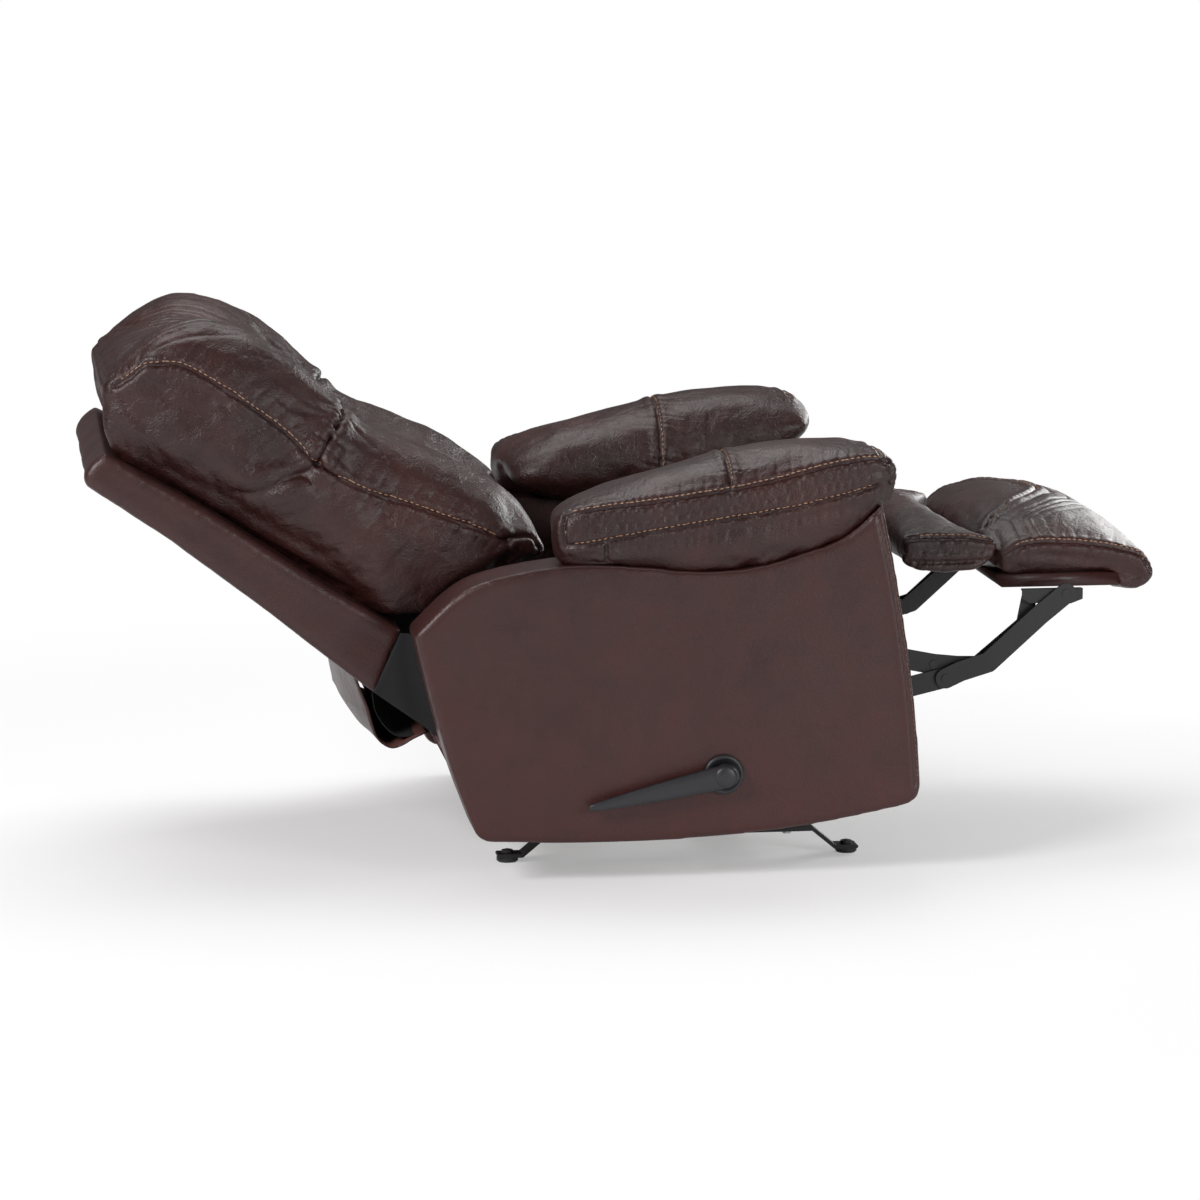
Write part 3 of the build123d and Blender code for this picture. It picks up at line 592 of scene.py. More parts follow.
def sew(
    piece, seams, depth=3.2, width=3.0, puff=2.0, gather=1.5, reach=26.0, wave=19.0, seed=1.0,
    fade=False
):
    """Press grooves into a piece along its seams and gather the hide beside them."""
    co, normal = points_of(piece), normals_of(piece)
    tree = surface_of(piece)
    laid = []
    total = sum(len(s) for s in seams)
    near = KDTree(total)
    facts = []
    for number, seam in enumerate(seams):
        skin = on_skin(tree, seam)
        laid.append(skin)
        for i, (spot, _) in enumerate(skin):
            ahead = skin[min(i + 1, len(skin) - 1)][0] - skin[max(i - 1, 0)][0]
            near.insert(spot, len(facts))
            strength = (1.0 - i / len(skin)) ** 0.8 if fade else 1.0
            facts.append((number, i * 3.0, ahead.normalized(), strength))
    near.balance()
    lift = np.zeros(len(co))
    for i, p in enumerate(co):
        spot, index, far = near.find(Vector(p))
        d = far / MM
        if d > 4 * reach:
            continue
        number, s, ahead, strength = facts[index]
        s += (Vector(p) - spot).dot(ahead) / MM
        side = 1.0 if (Vector(p) - spot).cross(ahead).dot(Vector(normal[i])) > 0 else -1.0
        groove = -depth * math.exp(-((d / width) ** 2))
        swell = puff * math.exp(-(((d - 3.2 * width) / (2.6 * width)) ** 2))
        lean = 0.25 * d * side
        folds = gather * crimp(
            s + lean, seed + number + 0.5 * side, wave
        ) * math.exp(-d / reach) * min(1.0, d / 5.0)
        lift[i] = (groove + swell + folds) * strength
    set_points(piece, co + normal * (lift * MM)[:, None])
    return laid


# %% Lay the stitches


def steady(points, window=5):
    """Each point replaced by the mean of its neighbours."""
    pts = np.array([list(p) for p in points])
    near = [pts[max(0, i - window) : i + window + 1].mean(axis=0) for i in range(len(pts))]
    return [Vector(p) for p in near]


def stitches(piece, name, laid, offset=6.0, up=(0, 0, 1), length=3.1, pitch=8.6, material=None):
    """Short tan stitches beside each seam, on the side that `up` points to."""
    tree = surface_of(piece)
    bm = bmesh.new()
    count = 0
    for skin in laid:
        spots = steady([s for s, _ in skin], 2)
        beside = []
        for i, spot in enumerate(spots):
            along = spots[min(i + 1, len(spots) - 1)] - spots[max(i - 1, 0)]
            side = along.cross(skin[i][1]).normalized()
            if side.dot(Vector(up)) < 0:
                side = -side
            beside.append(tree.find_nearest(spot + side * offset * MM)[0])
        beside = steady(steady(beside), 3)
        travelled = 0.0
        for i in range(2, len(beside) - 2):
            travelled += (beside[i] - beside[i - 1]).length / MM
            if travelled < pitch:
                continue
            travelled -= pitch
            spot, out, _, _ = tree.find_nearest(beside[i])
            along = (beside[i + 1] - beside[i - 1]).normalized()
            across = along.cross(out).normalized()
            along = out.cross(across).normalized()
            turn = Matrix(
                (across * 0.8 * MM, out * 0.6 * MM, along * length * MM)
            ).transposed().to_4x4()
            turn.translation = spot + out * 0.35 * MM
            bmesh.ops.create_uvsphere(bm, u_segments=6, v_segments=5, radius=1.0, matrix=turn)
            count += 1
    print(name, count, "stitches")
    return finished(bm, name, material or THREAD)


def piping(piece, name, lines, radius, material, sink=0.35):
    """A thin round welt laid along lines on the skin of a piece."""
    tree = surface_of(piece)
    bm = bmesh.new()
    for line in lines:
        skin = on_skin(tree, line)
        rings = []
        for i, (spot, out) in enumerate(skin):
            ahead = (skin[min(i + 1, len(skin) - 1)][0] - skin[max(i - 1, 0)][0]).normalized()
            across = ahead.cross(out).normalized()
            centre = spot - out * radius * sink * MM
            place = Matrix((across, ahead.cross(across), ahead)).transposed().to_4x4()
            place.translation = centre
            made = bmesh.ops.create_circle(bm, segments=8, radius=radius * MM, matrix=place)
            verts = made["verts"]
            rings.append([e for e in {e for v in verts for e in v.link_edges}])
        for a, b in zip(rings, rings[1:]):
            bmesh.ops.bridge_loops(bm, edges=a + b)
        for end in (rings[0], rings[-1]):
            bmesh.ops.contextual_create(bm, geom=end)
    return finished(bm, name, material)


def finer(piece):
    """One level of subdivision, kept in the mesh."""
    smooth = piece.modifiers.new("Finer", "SUBSURF")
    smooth.levels = smooth.render_levels = 1
    bake_modifiers(piece)
    return piece


def dent(piece, move):
    """Move every vertex along its normal by what a function of its place says."""
    co, normal = points_of(piece), normals_of(piece)
    lift = np.array([move(x, y, z, n) for (x, y, z), n in zip(co * 1000.0, normal)])
    set_points(piece, co + normal * (lift * MM)[:, None])
    return piece


def wave_of(x, y, z, size, seed=0.0):
    """A smooth random swell, about one to minus one, at a given wavelength."""
    return noise.noise(Vector((x / size, y / size, z / size + seed * 17.0)))


print("tools ready")

# %% [markdown]
# ## Arms
# Each arm is a flat upholstered panel with a swooping top. Its side shape is drawn once as an
# outline, extruded through the width and bevelled, which gives the firm, slightly rounded
# edges of leather pulled over a board. A remesh then lets a gentle swell break up the flat
# side, because a perfectly flat panel would read as plastic.

# %% Arm outline
ARM_TOP = [
    (-344, 392), (-284, 448), (-230, 474), (-121, 493), (-20, 492), (98, 481), (185, 488),
    (249, 506), (314, 529), (374, 579)
]
ARM_FRONT = [(374, 579), (398, 460), (418, 340), (430, 240), (438, 143)]
ARM_REAR = [(-255, 90), (-288, 180), (-316, 280), (-344, 392)]


def curve_xz(points, step):
    return [(p[0], p[1]) for p in run_along([(x, z, 0) for x, z in points], step)]


def arm_outline():
    toe = curve_xz([(438, 143), (434, 122), (415, 110)], 8)
    bottom = curve_xz([(415, 110), (260, 82), (90, 67), (-80, 64), (-232, 69)], 16)
    heel = curve_xz([(-232, 69), (-247, 76), (-255, 90)], 8)
    runs = [
        curve_xz(ARM_TOP, 14), curve_xz(ARM_FRONT, 16), toe, bottom, heel, curve_xz(ARM_REAR, 16)
    ]
    return [p for run in runs for p in run[:-1]]


def slab_piece(name, outline, y_from, y_to, edge, material, segments=3):
    """A flat outline pushed through the width, with its edges rounded over."""
    bm = bmesh.new()
    face = bm.faces.new([bm.verts.new(Vector((x, y_from, z)) * MM) for x, z in outline])
    bmesh.ops.recalc_face_normals(bm, faces=[face])
    pushed = bmesh.ops.extrude_face_region(bm, geom=[face])["geom"]
    bmesh.ops.translate(
        bm, verts=[g for g in pushed if isinstance(g, bmesh.types.BMVert)],
        vec=Vector((0, y_to - y_from, 0)) * MM
    )
    flat = [f for f in bm.faces if len(f.verts) > 4]
    rims = list({e for f in flat for e in f.edges})
    bmesh.ops.bevel(
        bm, geom=rims, offset=edge * MM, segments=segments, profile=0.5, material=-1, affect="EDGES"
    )
    return finished(bm, name, material)


# %% Arm panels
ARM_SHAPE = arm_outline()
SIDES = (("right", -1.0), ("left", 1.0))


def arm_panel(name, side):
    panel = slab_piece(f"arm_panel_{name}", ARM_SHAPE, side * 340.5, side * 454.5, 5.0, SMOOTH)
    even_mesh(panel, 6.0, 2)

    def swell(x, y, z, n):
        face = max(0.0, n[1] * side)
        slow = 2.2 * wave_of(x, 0, z, 210.0, 1 + side) + 0.8 * wave_of(x, 0, z, 70.0, 2 + side)
        edge = min(1.0, max(0.0, (z - 70) / 60)) * min(1.0, max(0.0, (438 - x) / 60))
        return face * (1.2 * edge + slow * edge) - 0.8

    dent(panel, swell)
    finer(panel)
    front = [(x - 9.0, side * 455, z) for x, z in curve_xz([(372, 572)] + ARM_FRONT[1:], 12)]
    seam = run_along(front)
    laid = sew(panel, [seam], depth=2.4, width=2.2, puff=0.7, gather=0.25, seed=3 + side)
    sewing = stitches(
        panel, f"arm_panel_thread_{name}", laid, 4.4, up=(1, 0, 0.2), length=2.6, pitch=8.0,
        material=DIM_THREAD
    )
    top = run_along([(x, side * 452.5, z - 0.5) for x, z in ARM_TOP[2:]])
    edge = piping(panel, f"arm_panel_edge_{name}", [top], 2.0, SMOOTH, 0.1)
    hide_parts(f"arm_cover_{name}")
    for piece in (panel, sewing, edge):
        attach(piece, "body")
    print(panel.name, len(panel.data.polygons), "faces")


for name, side in SIDES:
    arm_panel(name, side)

# %% [markdown]
# ## Arm pads
# The pads are fat pillows: a top panel, a band between two stitched seams down the outer side,
# and a lower flap that tucks behind the edge of the arm. Sections taken every few centimetres
# along the arm are joined into a cage, because the pad climbs and fattens towards its nose in
# a way no primitive does. The seams are pinned while the pad is stuffed.

# %% Arm pad shape
PAD_CROWN = (
    (-130, 578), (-95, 594), (-33, 611), (29, 627), (90, 644), (137, 656), (199, 667), (261, 673),
    (324, 672), (363, 662), (385, 645), (399, 615)
)
PAD_TOP_SEAM = (
    (-130, 573), (-63, 582), (13, 589), (90, 600), (140, 607), (212, 621), (289, 641), (370, 655),
    (399, 640)
)
PAD_LOW_SEAM = (
    (-130, 521), (-63, 531), (13, 544), (90, 556), (166, 567), (243, 579), (320, 597), (378, 612),
    (399, 613)
)
PAD_UNDER = (
    (-130, 512), (-60, 502), (20, 498), (120, 497), (220, 511), (310, 542), (372, 583), (399, 600)
)


def read(table, x):
    return float(np.interp(x, [p[0] for p in table], [p[1] for p in table]))


def pad_ring(x, side, shrink=0.0):
    crown, top, low, under = (
        read(t, x) for t in (PAD_CROWN, PAD_TOP_SEAM, PAD_LOW_SEAM, PAD_UNDER)
    )
    crown = max(crown, top + 4)
    rest = min(read(ARM_TOP, x) - 8, low - 12)
    drop = crown - under
    ring = [
        (446, rest),
        (459, (rest + low) / 2),
        (464, low),
        (469, (low + top) / 2),
        (463, top),
        (446, top + 0.5 * (crown - top)),
        (410, top + 0.86 * (crown - top)),
        (360, crown),
        (312, crown - 0.08 * drop),
        (276, crown - 0.26 * drop),
        (257, crown - 0.52 * drop),
        (258, crown - 0.78 * drop),
        (278, under + 2),
        (318, under),
        (352, under),
        (400, rest),
    ]
    middle = (362, (crown + under) / 2)
    ring = [(y + (middle[0] - y) * shrink, z + (middle[1] - z) * shrink) for y, z in ring]
    slant = 0.14 if x < -60 else 0.0
    return [(x + slant * (469 - y), side * y, z) for y, z in ring]


# %% Arm pads


def arm_pad(name, side):
    stops = [
        (-137, 0.46), (-134, 0.3), (-127, 0.17), (-115, 0.08), (-98, 0.02), (-80, 0), (-33, 0),
        (29, 0), (90, 0), (137, 0), (199, 0), (261, 0), (324, 0), (350, 0.01), (370, 0.04),
        (385, 0.1), (393, 0.2), (397, 0.36)
    ]
    pad = cage(f"arm_pad_{name}_cover", [pad_ring(x, side, s) for x, s in stops], SOFT)
    even_mesh(pad, 5.5, 5)
    top = run_along([(x, side * 464, read(PAD_TOP_SEAM, x)) for x in range(-122, 386, 22)])
    low = run_along([(x, side * 465, read(PAD_LOW_SEAM, x)) for x in range(-120, 386, 22)])
    over = [p for p in pad_ring(138, side)[4:12]]
    cross = run_along(over)
    rear = run_along([(-119, side * 460, z) for z in (568, 556, 542, 528)])
    front = run_along([(383, side * 452, z) for z in (650, 640, 628, 616)])
    dart = run_along([(-52, side * 461, z) for z in (533, 522, 510, 500)])
    over_nose = run_along(
        [
            (371, side * y, z) for y,
            z in ((462, 655), (440, 662), (410, 666), (370, 668), (330, 664))
        ]
    )
    seams = [top, low, cross, rear, front]
    stuff(pad, seams, cap=9.0)
    finer(pad)
    dent(
        pad, lambda x, y, z,
        n: 1.6 * wave_of(x, y, z, 62.0, 5) + 1.3 * wave_of(x * 0.45, y, z, 24.0, 8)
    )
    laid = sew(
        pad, seams + [dart, over_nose], depth=4.2, width=3.0, puff=2.3, gather=2.2, reach=24.0,
        wave=17.0, seed=11 + side
    )
    sewing = stitches(pad, f"arm_pad_thread_{name}", laid[:2], 5.6)
    across = stitches(
        pad, f"arm_pad_cross_thread_{name}", [laid[2], laid[3], laid[4], laid[6]], 4.4, up=(1, 0, 0)
    )
    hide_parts(f"arm_pad_{name}")
    for piece in (pad, sewing, across):
        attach(piece, "body")
    print(pad.name, len(pad.data.polygons), "faces")


for name, side in SIDES:
    arm_pad(name, side)

# %% [markdown]
# ## Back cushion
# The back is one loose cover with two puffs, a head pillow and a lumbar pad, pulled together
# by a deep tuck, and with fat bolsters down both sides and a valley between them. It is easiest
# to draw lying on the outer back: `a` runs up the back from its foot and `h` stands off it.
# Sections across the back are joined along `a`.

# %% Back cushion shape
BACK_FOOT = (-349.0, 379.0)
UP_BACK = (-0.8487, 0.5288)
OFF_BACK = (0.5288, 0.8487)
BACK_CROWN = (
    (-132, 226), (-120, 234), (-90, 243), (-50, 249), (0, 253), (52, 251), (106, 245), (163, 238),
    (220, 236), (262, 246), (300, 258), (346, 266), (425, 265), (484, 254), (521, 236), (546, 209),
    (565, 178), (580, 130), (586, 105)
)
BACK_SEAM = (
    (-132, 217), (-95, 217), (-67, 199), (-31, 194), (22, 184), (80, 173), (135, 159), (188, 151),
    (247, 152), (306, 167), (388, 176), (459, 177), (502, 173), (547, 146), (572, 95), (586, 85)
)
BACK_BASE = (
    (-132, 214), (-128, 211), (-60, 99), (0, 2), (40, 0), (500, 0), (533, 6), (560, 34), (572, 55),
    (586, 78)
)


def on_back(a, y, h):
    return (
        BACK_FOOT[0] + UP_BACK[0] * a + OFF_BACK[0] * h, y,
        BACK_FOOT[1] + UP_BACK[1] * a + OFF_BACK[1] * h
    )


def back_ring(a, half=303.0):
    crown, seam, base = (read(t, a) for t in (BACK_CROWN, BACK_SEAM, BACK_BASE))
    crown = max(crown, seam + 3)
    valley = crown - (50 if a < 240 else 42) * min(
        1.0, max(0.0, (a + 132) / 90)
    ) * min(1.0, (586 - a) / 70)
    half_ring = [
        (half - 14, base),
        (half - 3, base + 0.3 * (seam - base)),
        (half, base + 0.7 * (seam - base)),
        (half - 2, seam),
        (half - 16, seam + 0.55 * (crown - seam)),
        (half - 45, seam + 0.9 * (crown - seam)),
        (half - 82, crown),
        (half - 128, crown - 0.26 * (crown - valley)),
        (half - 190, crown - 0.82 * (crown - valley)),
        (half - 250, valley),
    ]
    near = [on_back(a, -y, h) for y, h in half_ring]
    far = [on_back(a, y, h) for y, h in reversed(half_ring)]
    return near + [on_back(a, 0, valley)] + far


# %% Back cushion
stops = [
    -131, -122, -100, -60, -20, 20, 60, 106, 163, 205, 235, 262, 300, 346, 400, 450, 495, 525, 548,
    564, 576, 583
]
back = cage(
    "back_cushion_cover",
    [
        back_ring(a, 303 - (10 if a > 560 else 0) - (12 if a > 578 else 0) - (5 if a < -118 else 0))
        for a in stops
    ],
    SOFT
)
even_mesh(back, 6.5, 5)
# the first fold on each side is the deep one, the other four are soft
PLEATS = (
    ((-474, 302, 637), (-505, 303, 620), (-545, 303, 604), (-588, 303, 594), (-625, 303, 590)),
    ((-500, 302, 655), (-545, 303, 640), (-590, 303, 634), (-630, 303, 636)),
    ((-610, 302, 745), (-640, 303, 715), (-680, 303, 690), (-715, 303, 672)),
    ((-250, 302, 536), (-262, 303, 510), (-284, 303, 488), (-310, 303, 468)),
    ((-365, 302, 578), (-385, 303, 548), (-412, 303, 525), (-446, 303, 508)),
)
side_runs, tucks, pleats = [], [], []
for side in (-1, 1):
    side_runs.append(
        run_along(
            [
                on_back(a, side * 302, read(BACK_SEAM, a))
                for a in (
                    -67, -31, 22, 80, 135, 188, 247, 306, 360, 420, 459, 502, 530, 547, 562, 572
                )
            ]
        )
    )
    tucks.append(
        run_along(
            [
                on_back(246 + 16 * (1 - t), side * (12 + 288 * t), 240 - 86 * t**6)
                for t in np.linspace(1, 0, 9)
            ]
        )
    )
    for table in PLEATS:
        pleats.append(run_along([(x, side * y, z) for x, y, z in table]))
toe = [
    run_along(
        [
            on_back(-67, side * 302, 200), on_back(-84, side * 298, 224),
            on_back(-104, side * 290, 232), on_back(-128, side * 296, 218)
        ]
    )
    for side in (-1, 1)
]
head_end = run_along([on_back(574, y, 92) for y in range(-270, 271, 45)])
stuff(back, side_runs + tucks + [head_end], cap=14.0)
finer(back)


def back_folds(x, y, z, n):
    """Broad dimples, gathers fanning down from the head end and creases round the tuck."""
    dx, dz = x - BACK_FOOT[0], z - BACK_FOOT[1]
    a = dx * UP_BACK[0] + dz * UP_BACK[1]
    h = dx * OFF_BACK[0] + dz * OFF_BACK[1]
    top = max(0.0, min(1.0, (n[0] * OFF_BACK[0] + n[2] * OFF_BACK[1]) * 1.6))
    boxing = 1.0 - top
    fan = y * (1.0 + (575 - a) / 700.0)
    gather = crimp(
        fan + 14 * wave_of(a, y, 0, 90.0, 3), 21.0, 31.0
    ) * math.exp(-abs(572 - a) / 110.0) * 3.6
    round_tuck = crimp(
        y * 1.0 + 0.25 * abs(a - 250), 33.0, 38.0
    ) * math.exp(-abs(a - 252) / 60.0) * 2.6 * top
    across = 2.8 * wave_of(a, y * 0.2, 0, 50.0, 14) * top
    broad = 4.4 * wave_of(
        a * 0.7, y, h, 88.0, 1
    ) * top + across + 2.4 * wave_of(a, y * 0.3, h, 70.0, 2) * boxing
    slant = 1.9 * wave_of(a * 0.55 + h * 0.5, y * 0.2, h - 0.8 * a, 34.0, 6) * boxing
    lazy = 2.0 * wave_of(a, y * 0.4, 0, 36.0, 9) * top * math.exp(-((y / 170.0) ** 2))
    return gather * top + round_tuck + broad + slant + lazy


dent(back, back_folds)
sew(back, tucks, depth=8.0, width=4.2, puff=3.2, gather=2.2, reach=38.0, wave=31.0, seed=41)
laid = sew(
    back, side_runs + [head_end], depth=4.4, width=3.2, puff=2.6, gather=2.2, reach=26.0, wave=24.0,
    seed=51
)
main_pleats = [p for i, p in enumerate(pleats) if i % len(PLEATS) == 0]
soft_pleats = [p for i, p in enumerate(pleats) if i % len(PLEATS)]
sew(back, main_pleats, depth=7.5, width=7.0, puff=4.5, gather=0.0, seed=61, fade=True)
sew(back, soft_pleats, depth=3.0, width=12.0, puff=2.2, gather=0.0, seed=66, fade=True)
sew(back, toe, depth=5.0, width=4.0, puff=2.4, gather=0.8, reach=20.0, wave=22.0, seed=62)
back_thread = stitches(back, "back_cushion_thread", laid[:2], 6.0, up=(OFF_BACK[0], 0, OFF_BACK[1]))
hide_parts("lumbar_cushion", "head_cushion")
for piece in (back, back_thread):
    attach(piece, "back")
print(back.name, len(back.data.polygons), "faces")

# %% [markdown]
# ## Outer back and rear panel
# Behind the cushion a hard-edged wedge of leather over board carries the back, and a narrow
# covered panel closes the rear of the body. Both are outlines with rounded edges, like the
# arms.

# %% Outer back and rear panel
crown = curve_xz([(-800, 660), (-738, 624), (-652, 573), (-523, 487), (-430, 428), (-349, 379)], 16)
tip = curve_xz([(-833, 614), (-829, 630), (-819, 645), (-800, 660)], 7)
shell_shape = crown + curve_xz([(-350, 377), (-391, 279)], 18)[1:] + curve_xz(
    [(-393, 280), (-654, 485), (-832, 613)], 18
)[1:-1] + tip[:-1]
shell = slab_piece("outer_back_cover", shell_shape, -319.5, 319.5, 7.0, SMOOTH)
even_mesh(shell, 7.0, 3)
dent(
    shell, lambda x, y, z,
    n: 1.7 * wave_of(x, y, z, 120.0, 4) + 0.8 * wave_of(x, y, z, 45.0, 5) - 0.6
)
finer(shell)
edges = [
    run_along(
        [
            (x, side * 318, z) for x,
            z in ((-770, 645), (-652, 574), (-523, 488), (-430, 429), (-360, 387))
        ]
    )
    for side in (-1, 1)
]
sew(shell, edges, depth=0.6, width=4.0, puff=0.8, gather=0.5, seed=71)
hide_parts("outer_back")
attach(shell, "back")
lean = Vector((-240 + 296, 0, 100 - 210)).normalized()
off = Vector((-lean.z, 0, lean.x))
flat = [
    Vector((-297, 0, 212)) + lean * s + off * t for s,
    t in ((0, 5.5), (126, 5.5), (126, -5.5), (0, -5.5))
]
rear = slab_piece("rear_panel_cover", [(p.x, p.z) for p in flat], -338.5, 338.5, 3.0, SMOOTH)
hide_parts("rear_panel")
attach(rear, "body")
print("outer back", len(shell.data.polygons), "faces")

# %% [markdown]
# ## Hanging flap and dust cloth
# A single thickness of hide hangs from the foot of the back and curls forward to the body, so
# it shows leather outside and suede inside. It is a grid laid along the curve, given a slight
# wave, a wall, and a second finish for its inner face. Under the seat a black cloth is pulled
# tight, an inner curtain closes the space behind the flap, and a gusset closes each side of it.
# All are sheets.

# %% Flap and cloth


SHELL_SLOPE = 0.785


def sheet_piece(name, path, half, sag, wall, materials, bulge=None, rows=46, columns=40):
    """A strip of cloth laid along a path in the side view, with a wall."""
    line = run_along([(x, 0, z) for x, z in path], 4.0)
    along = np.concatenate([[0], np.cumsum(np.linalg.norm(np.diff(line, axis=0), axis=1))])
    bm = bmesh.new()
    bmesh.ops.create_grid(bm, x_segments=rows, y_segments=columns, size=1.0)
    for v in bm.verts:
        s, y = (v.co.x + 1) / 2 * along[-1], v.co.y * half
        x, z = (np.interp(s, along, line[:, k]) for k in (0, 2))
        v.co = Vector((x, y, z)) * MM
        v.co.z += sag(s / along[-1], y / half) * MM
        if bulge:
            push = bulge(s / along[-1], y / half)
            v.co.x -= push * MM
            v.co.z += SHELL_SLOPE * push * max(0.0, 1.0 - 4.0 * s / along[-1]) * MM
    piece = finished(bm, name, materials[0])
    piece.data.materials.append(materials[1])
    wall_maker = piece.modifiers.new("Wall", "SOLIDIFY")
    wall_maker.thickness = wall * MM
    wall_maker.offset = 0.0
    wall_maker.material_offset = 1
    wall_maker.material_offset_rim = 0
    bake_modifiers(piece)
    return piece, along[-1] * MM


def flap_wave(t, y):
    hang = math.sin(math.pi * t)
    return 5.0 * hang * wave_of(y * 100, t * 60, 0, 55.0, 3) + 3.0 * hang * math.cos(7 * y)


def flap_bulge(t, y):
    """How far the middle of the flap stands out behind its two side edges, in millimetres."""
    return float(
        np.interp(t, (0.0, 0.35, 0.7, 1.0), (24.0, 33.0, 6.0, 0.0))
    ) * (1.0 - abs(y) ** 2.5)


FLAP = [
    (-419, 301), (-409, 274), (-398, 246), (-391, 219), (-382, 197), (-363, 184), (-345, 188),
    (-330, 197), (-308, 208)
]
flap, flap_length = sheet_piece(
    "hanging_flap", FLAP, 261, flap_wave, 3.0, (SOFT, SUEDE), flap_bulge
)
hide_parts("rear_skirt")
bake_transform(flap)
cloth, cloth_length = sheet_piece(
    "dust_cloth", [(-298, 229), (-170, 278), (-42, 329)], 289, lambda t,
    y: 1.5 * wave_of(y * 100, t * 100, 0, 30.0, 2), 1.5, (DUST, DUST)
)
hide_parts("dust_cover")
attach(cloth, "carriage")
curtain, curtain_length = sheet_piece(
    "black_curtain", [(-392, 282), (-384, 236), (-352, 201), (-302, 206)], 250, lambda t,
    y: 3.0 * math.sin(math.pi * t) * wave_of(y * 100, t * 40, 0, 40.0, 6), 1.5, (DUST, DUST)
)
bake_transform(curtain)
GUSSET_Y = 313.5
GUSSET = ((-395, 283), (-288, 206), (-288, 366), (-352, 374))
for name, side in SIDES:
    bm = bmesh.new()
    bmesh.ops.create_grid(bm, x_segments=20, y_segments=20, size=0.5)
    for v in bm.verts:
        u, w = v.co.x + 0.5, v.co.y + 0.5
        low = Vector(GUSSET[0]).lerp(Vector(GUSSET[1]), u)
        high = Vector(GUSSET[3]).lerp(Vector(GUSSET[2]), u)
        x, z = low.lerp(high, w)
        v.co = Vector((x, side * (GUSSET_Y + 0.4 * math.sin(5 * u + 3 * w)), z)) * MM
    gusset = finished(bm, f"side_gusset_{name}", DUST)
    wall_maker = gusset.modifiers.new("Wall", "SOLIDIFY")
    wall_maker.thickness, wall_maker.offset = 1.2 * MM, 0.0
    bake_modifiers(gusset)
    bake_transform(gusset)
print(
    "flap length", round(flap_length, 3), "cloth length", round(cloth_length, 3), "curtain length",
    round(curtain_length, 3)
)

# %% [markdown]
# ## Seat, bridging pad and footrest
# The seat is a crowned pad cut back at the rear so that the back can swing past. In front of it
# a soft bridging pad spans the gap to the footrest, and the footrest is a domed pad wrapped
# over the front of its board with a curved panel seam on top. Each is drawn as side sections
# that grow from a low edge to a fuller middle, because all three are lower at their sides.

# %% Seat cushion
SEAT_TOP = (
    (-60, 446), (-40, 456), (0, 464), (60, 471), (150, 478), (250, 488), (350, 497), (400, 499),
    (425, 490), (437, 470)
)


def seat_ring(x, shrink=0.0):
    top = read(SEAT_TOP, x)
    base = 417.0
    edge = top - 12
    ring = [
        (266, base), (274, base + 12), (274, edge - 14), (266, edge), (236, top - 3),
        (170, top + 3), (80, top + 2), (0, top)
    ]
    ring = [(y * (1 - 0.1 * shrink), z + ((base + top) / 2 - z) * shrink) for y, z in ring]
    near = [(x, -y, z) for y, z in ring]
    return near + [(x, y, z) for y, z in reversed(ring[:-1])]


seat = cage(
    "seat_cushion_cover",
    [
        seat_ring(x, s) for x,
        s in (
            (-40, 0.5), (-38, 0.1), (-20, 0), (30, 0), (90, 0), (160, 0), (240, 0), (320, 0),
            (380, 0), (415, 0), (430, 0.06), (436, 0.3)
        )
    ],
    SOFT
)
even_mesh(seat, 7.0, 4)
rims = [
    run_along([(x, side * 272, read(SEAT_TOP, x) - 14) for x in range(-30, 430, 40)])
    for side in (-1, 1)
]
front_seam = run_along([(424, y, 489) for y in range(-262, 263, 52)])
cross_seam = run_along([(200, y, 486) for y in range(-265, 266, 53)])
stuff(seat, rims + [front_seam, cross_seam], cap=9.0)
finer(seat)
dent(seat, lambda x, y, z, n: 2.0 * wave_of(x, y, z, 80.0, 7) + 1.0 * wave_of(x, y, z, 30.0, 8))
laid = sew(
    seat, rims + [front_seam, cross_seam], depth=3.6, width=3.2, puff=2.2, gather=2.0, seed=81
)
seat_thread = stitches(seat, "seat_cushion_thread", laid[:2], 5.6)
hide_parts("seat_cushion")
for piece in (seat, seat_thread):
    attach(piece, "carriage")
print(seat.name, len(seat.data.polygons), "faces")

# %% Sections across a pad


def domed(edge, middle, half, power=3.2):
    """Side sections from one low edge over a fuller middle to the other edge."""
    rings = []
    for share in (
        -0.985, -1.0, -0.985, -0.93, -0.84, -0.68, -0.45, -0.2, 0, 0.2, 0.45, 0.68, 0.84, 0.93,
        0.985, 1.0, 0.985
    ):
        full = 1 - abs(share) ** power
        ring = [
            (ex + (mx - ex) * full, ez + (mz - ez) * full) for (ex, ez),
            (mx, mz) in zip(edge, middle)
        ]
        rings.append([ring, share])
    centre = np.mean(np.array(edge), axis=0)
    for spot, share in ((0, -0.93), (-1, 0.93)):
        rings[spot][0] = [tuple(np.array(p) * 0.72 + centre * 0.28) for p in edge]
        rings[spot][1] = math.copysign(1.0, share)
    return [[(x, share * half, z) for x, z in ring] for ring, share in rings]


# %% Footrest cushion
REST_EDGE = [
    (604, 441), (597, 452), (606, 474), (628, 486), (659, 491), (716, 490), (772, 483), (827, 468),
    (843, 443), (840, 421), (822, 412), (792, 414), (790, 441)
]
REST_MIDDLE = [
    (582, 446), (556, 464), (554, 500), (590, 528), (645, 542), (710, 541), (770, 523), (824, 489),
    (845, 448), (841, 421), (822, 412), (792, 414), (790, 441)
]
rest = cage("footrest_cushion_cover", domed(REST_EDGE, REST_MIDDLE, 279), SOFT)
even_mesh(rest, 5.5, 5)
rest_sides = [run_along([(x, side * 279, z) for x, z in REST_EDGE[2:9]]) for side in (-1, 1)]


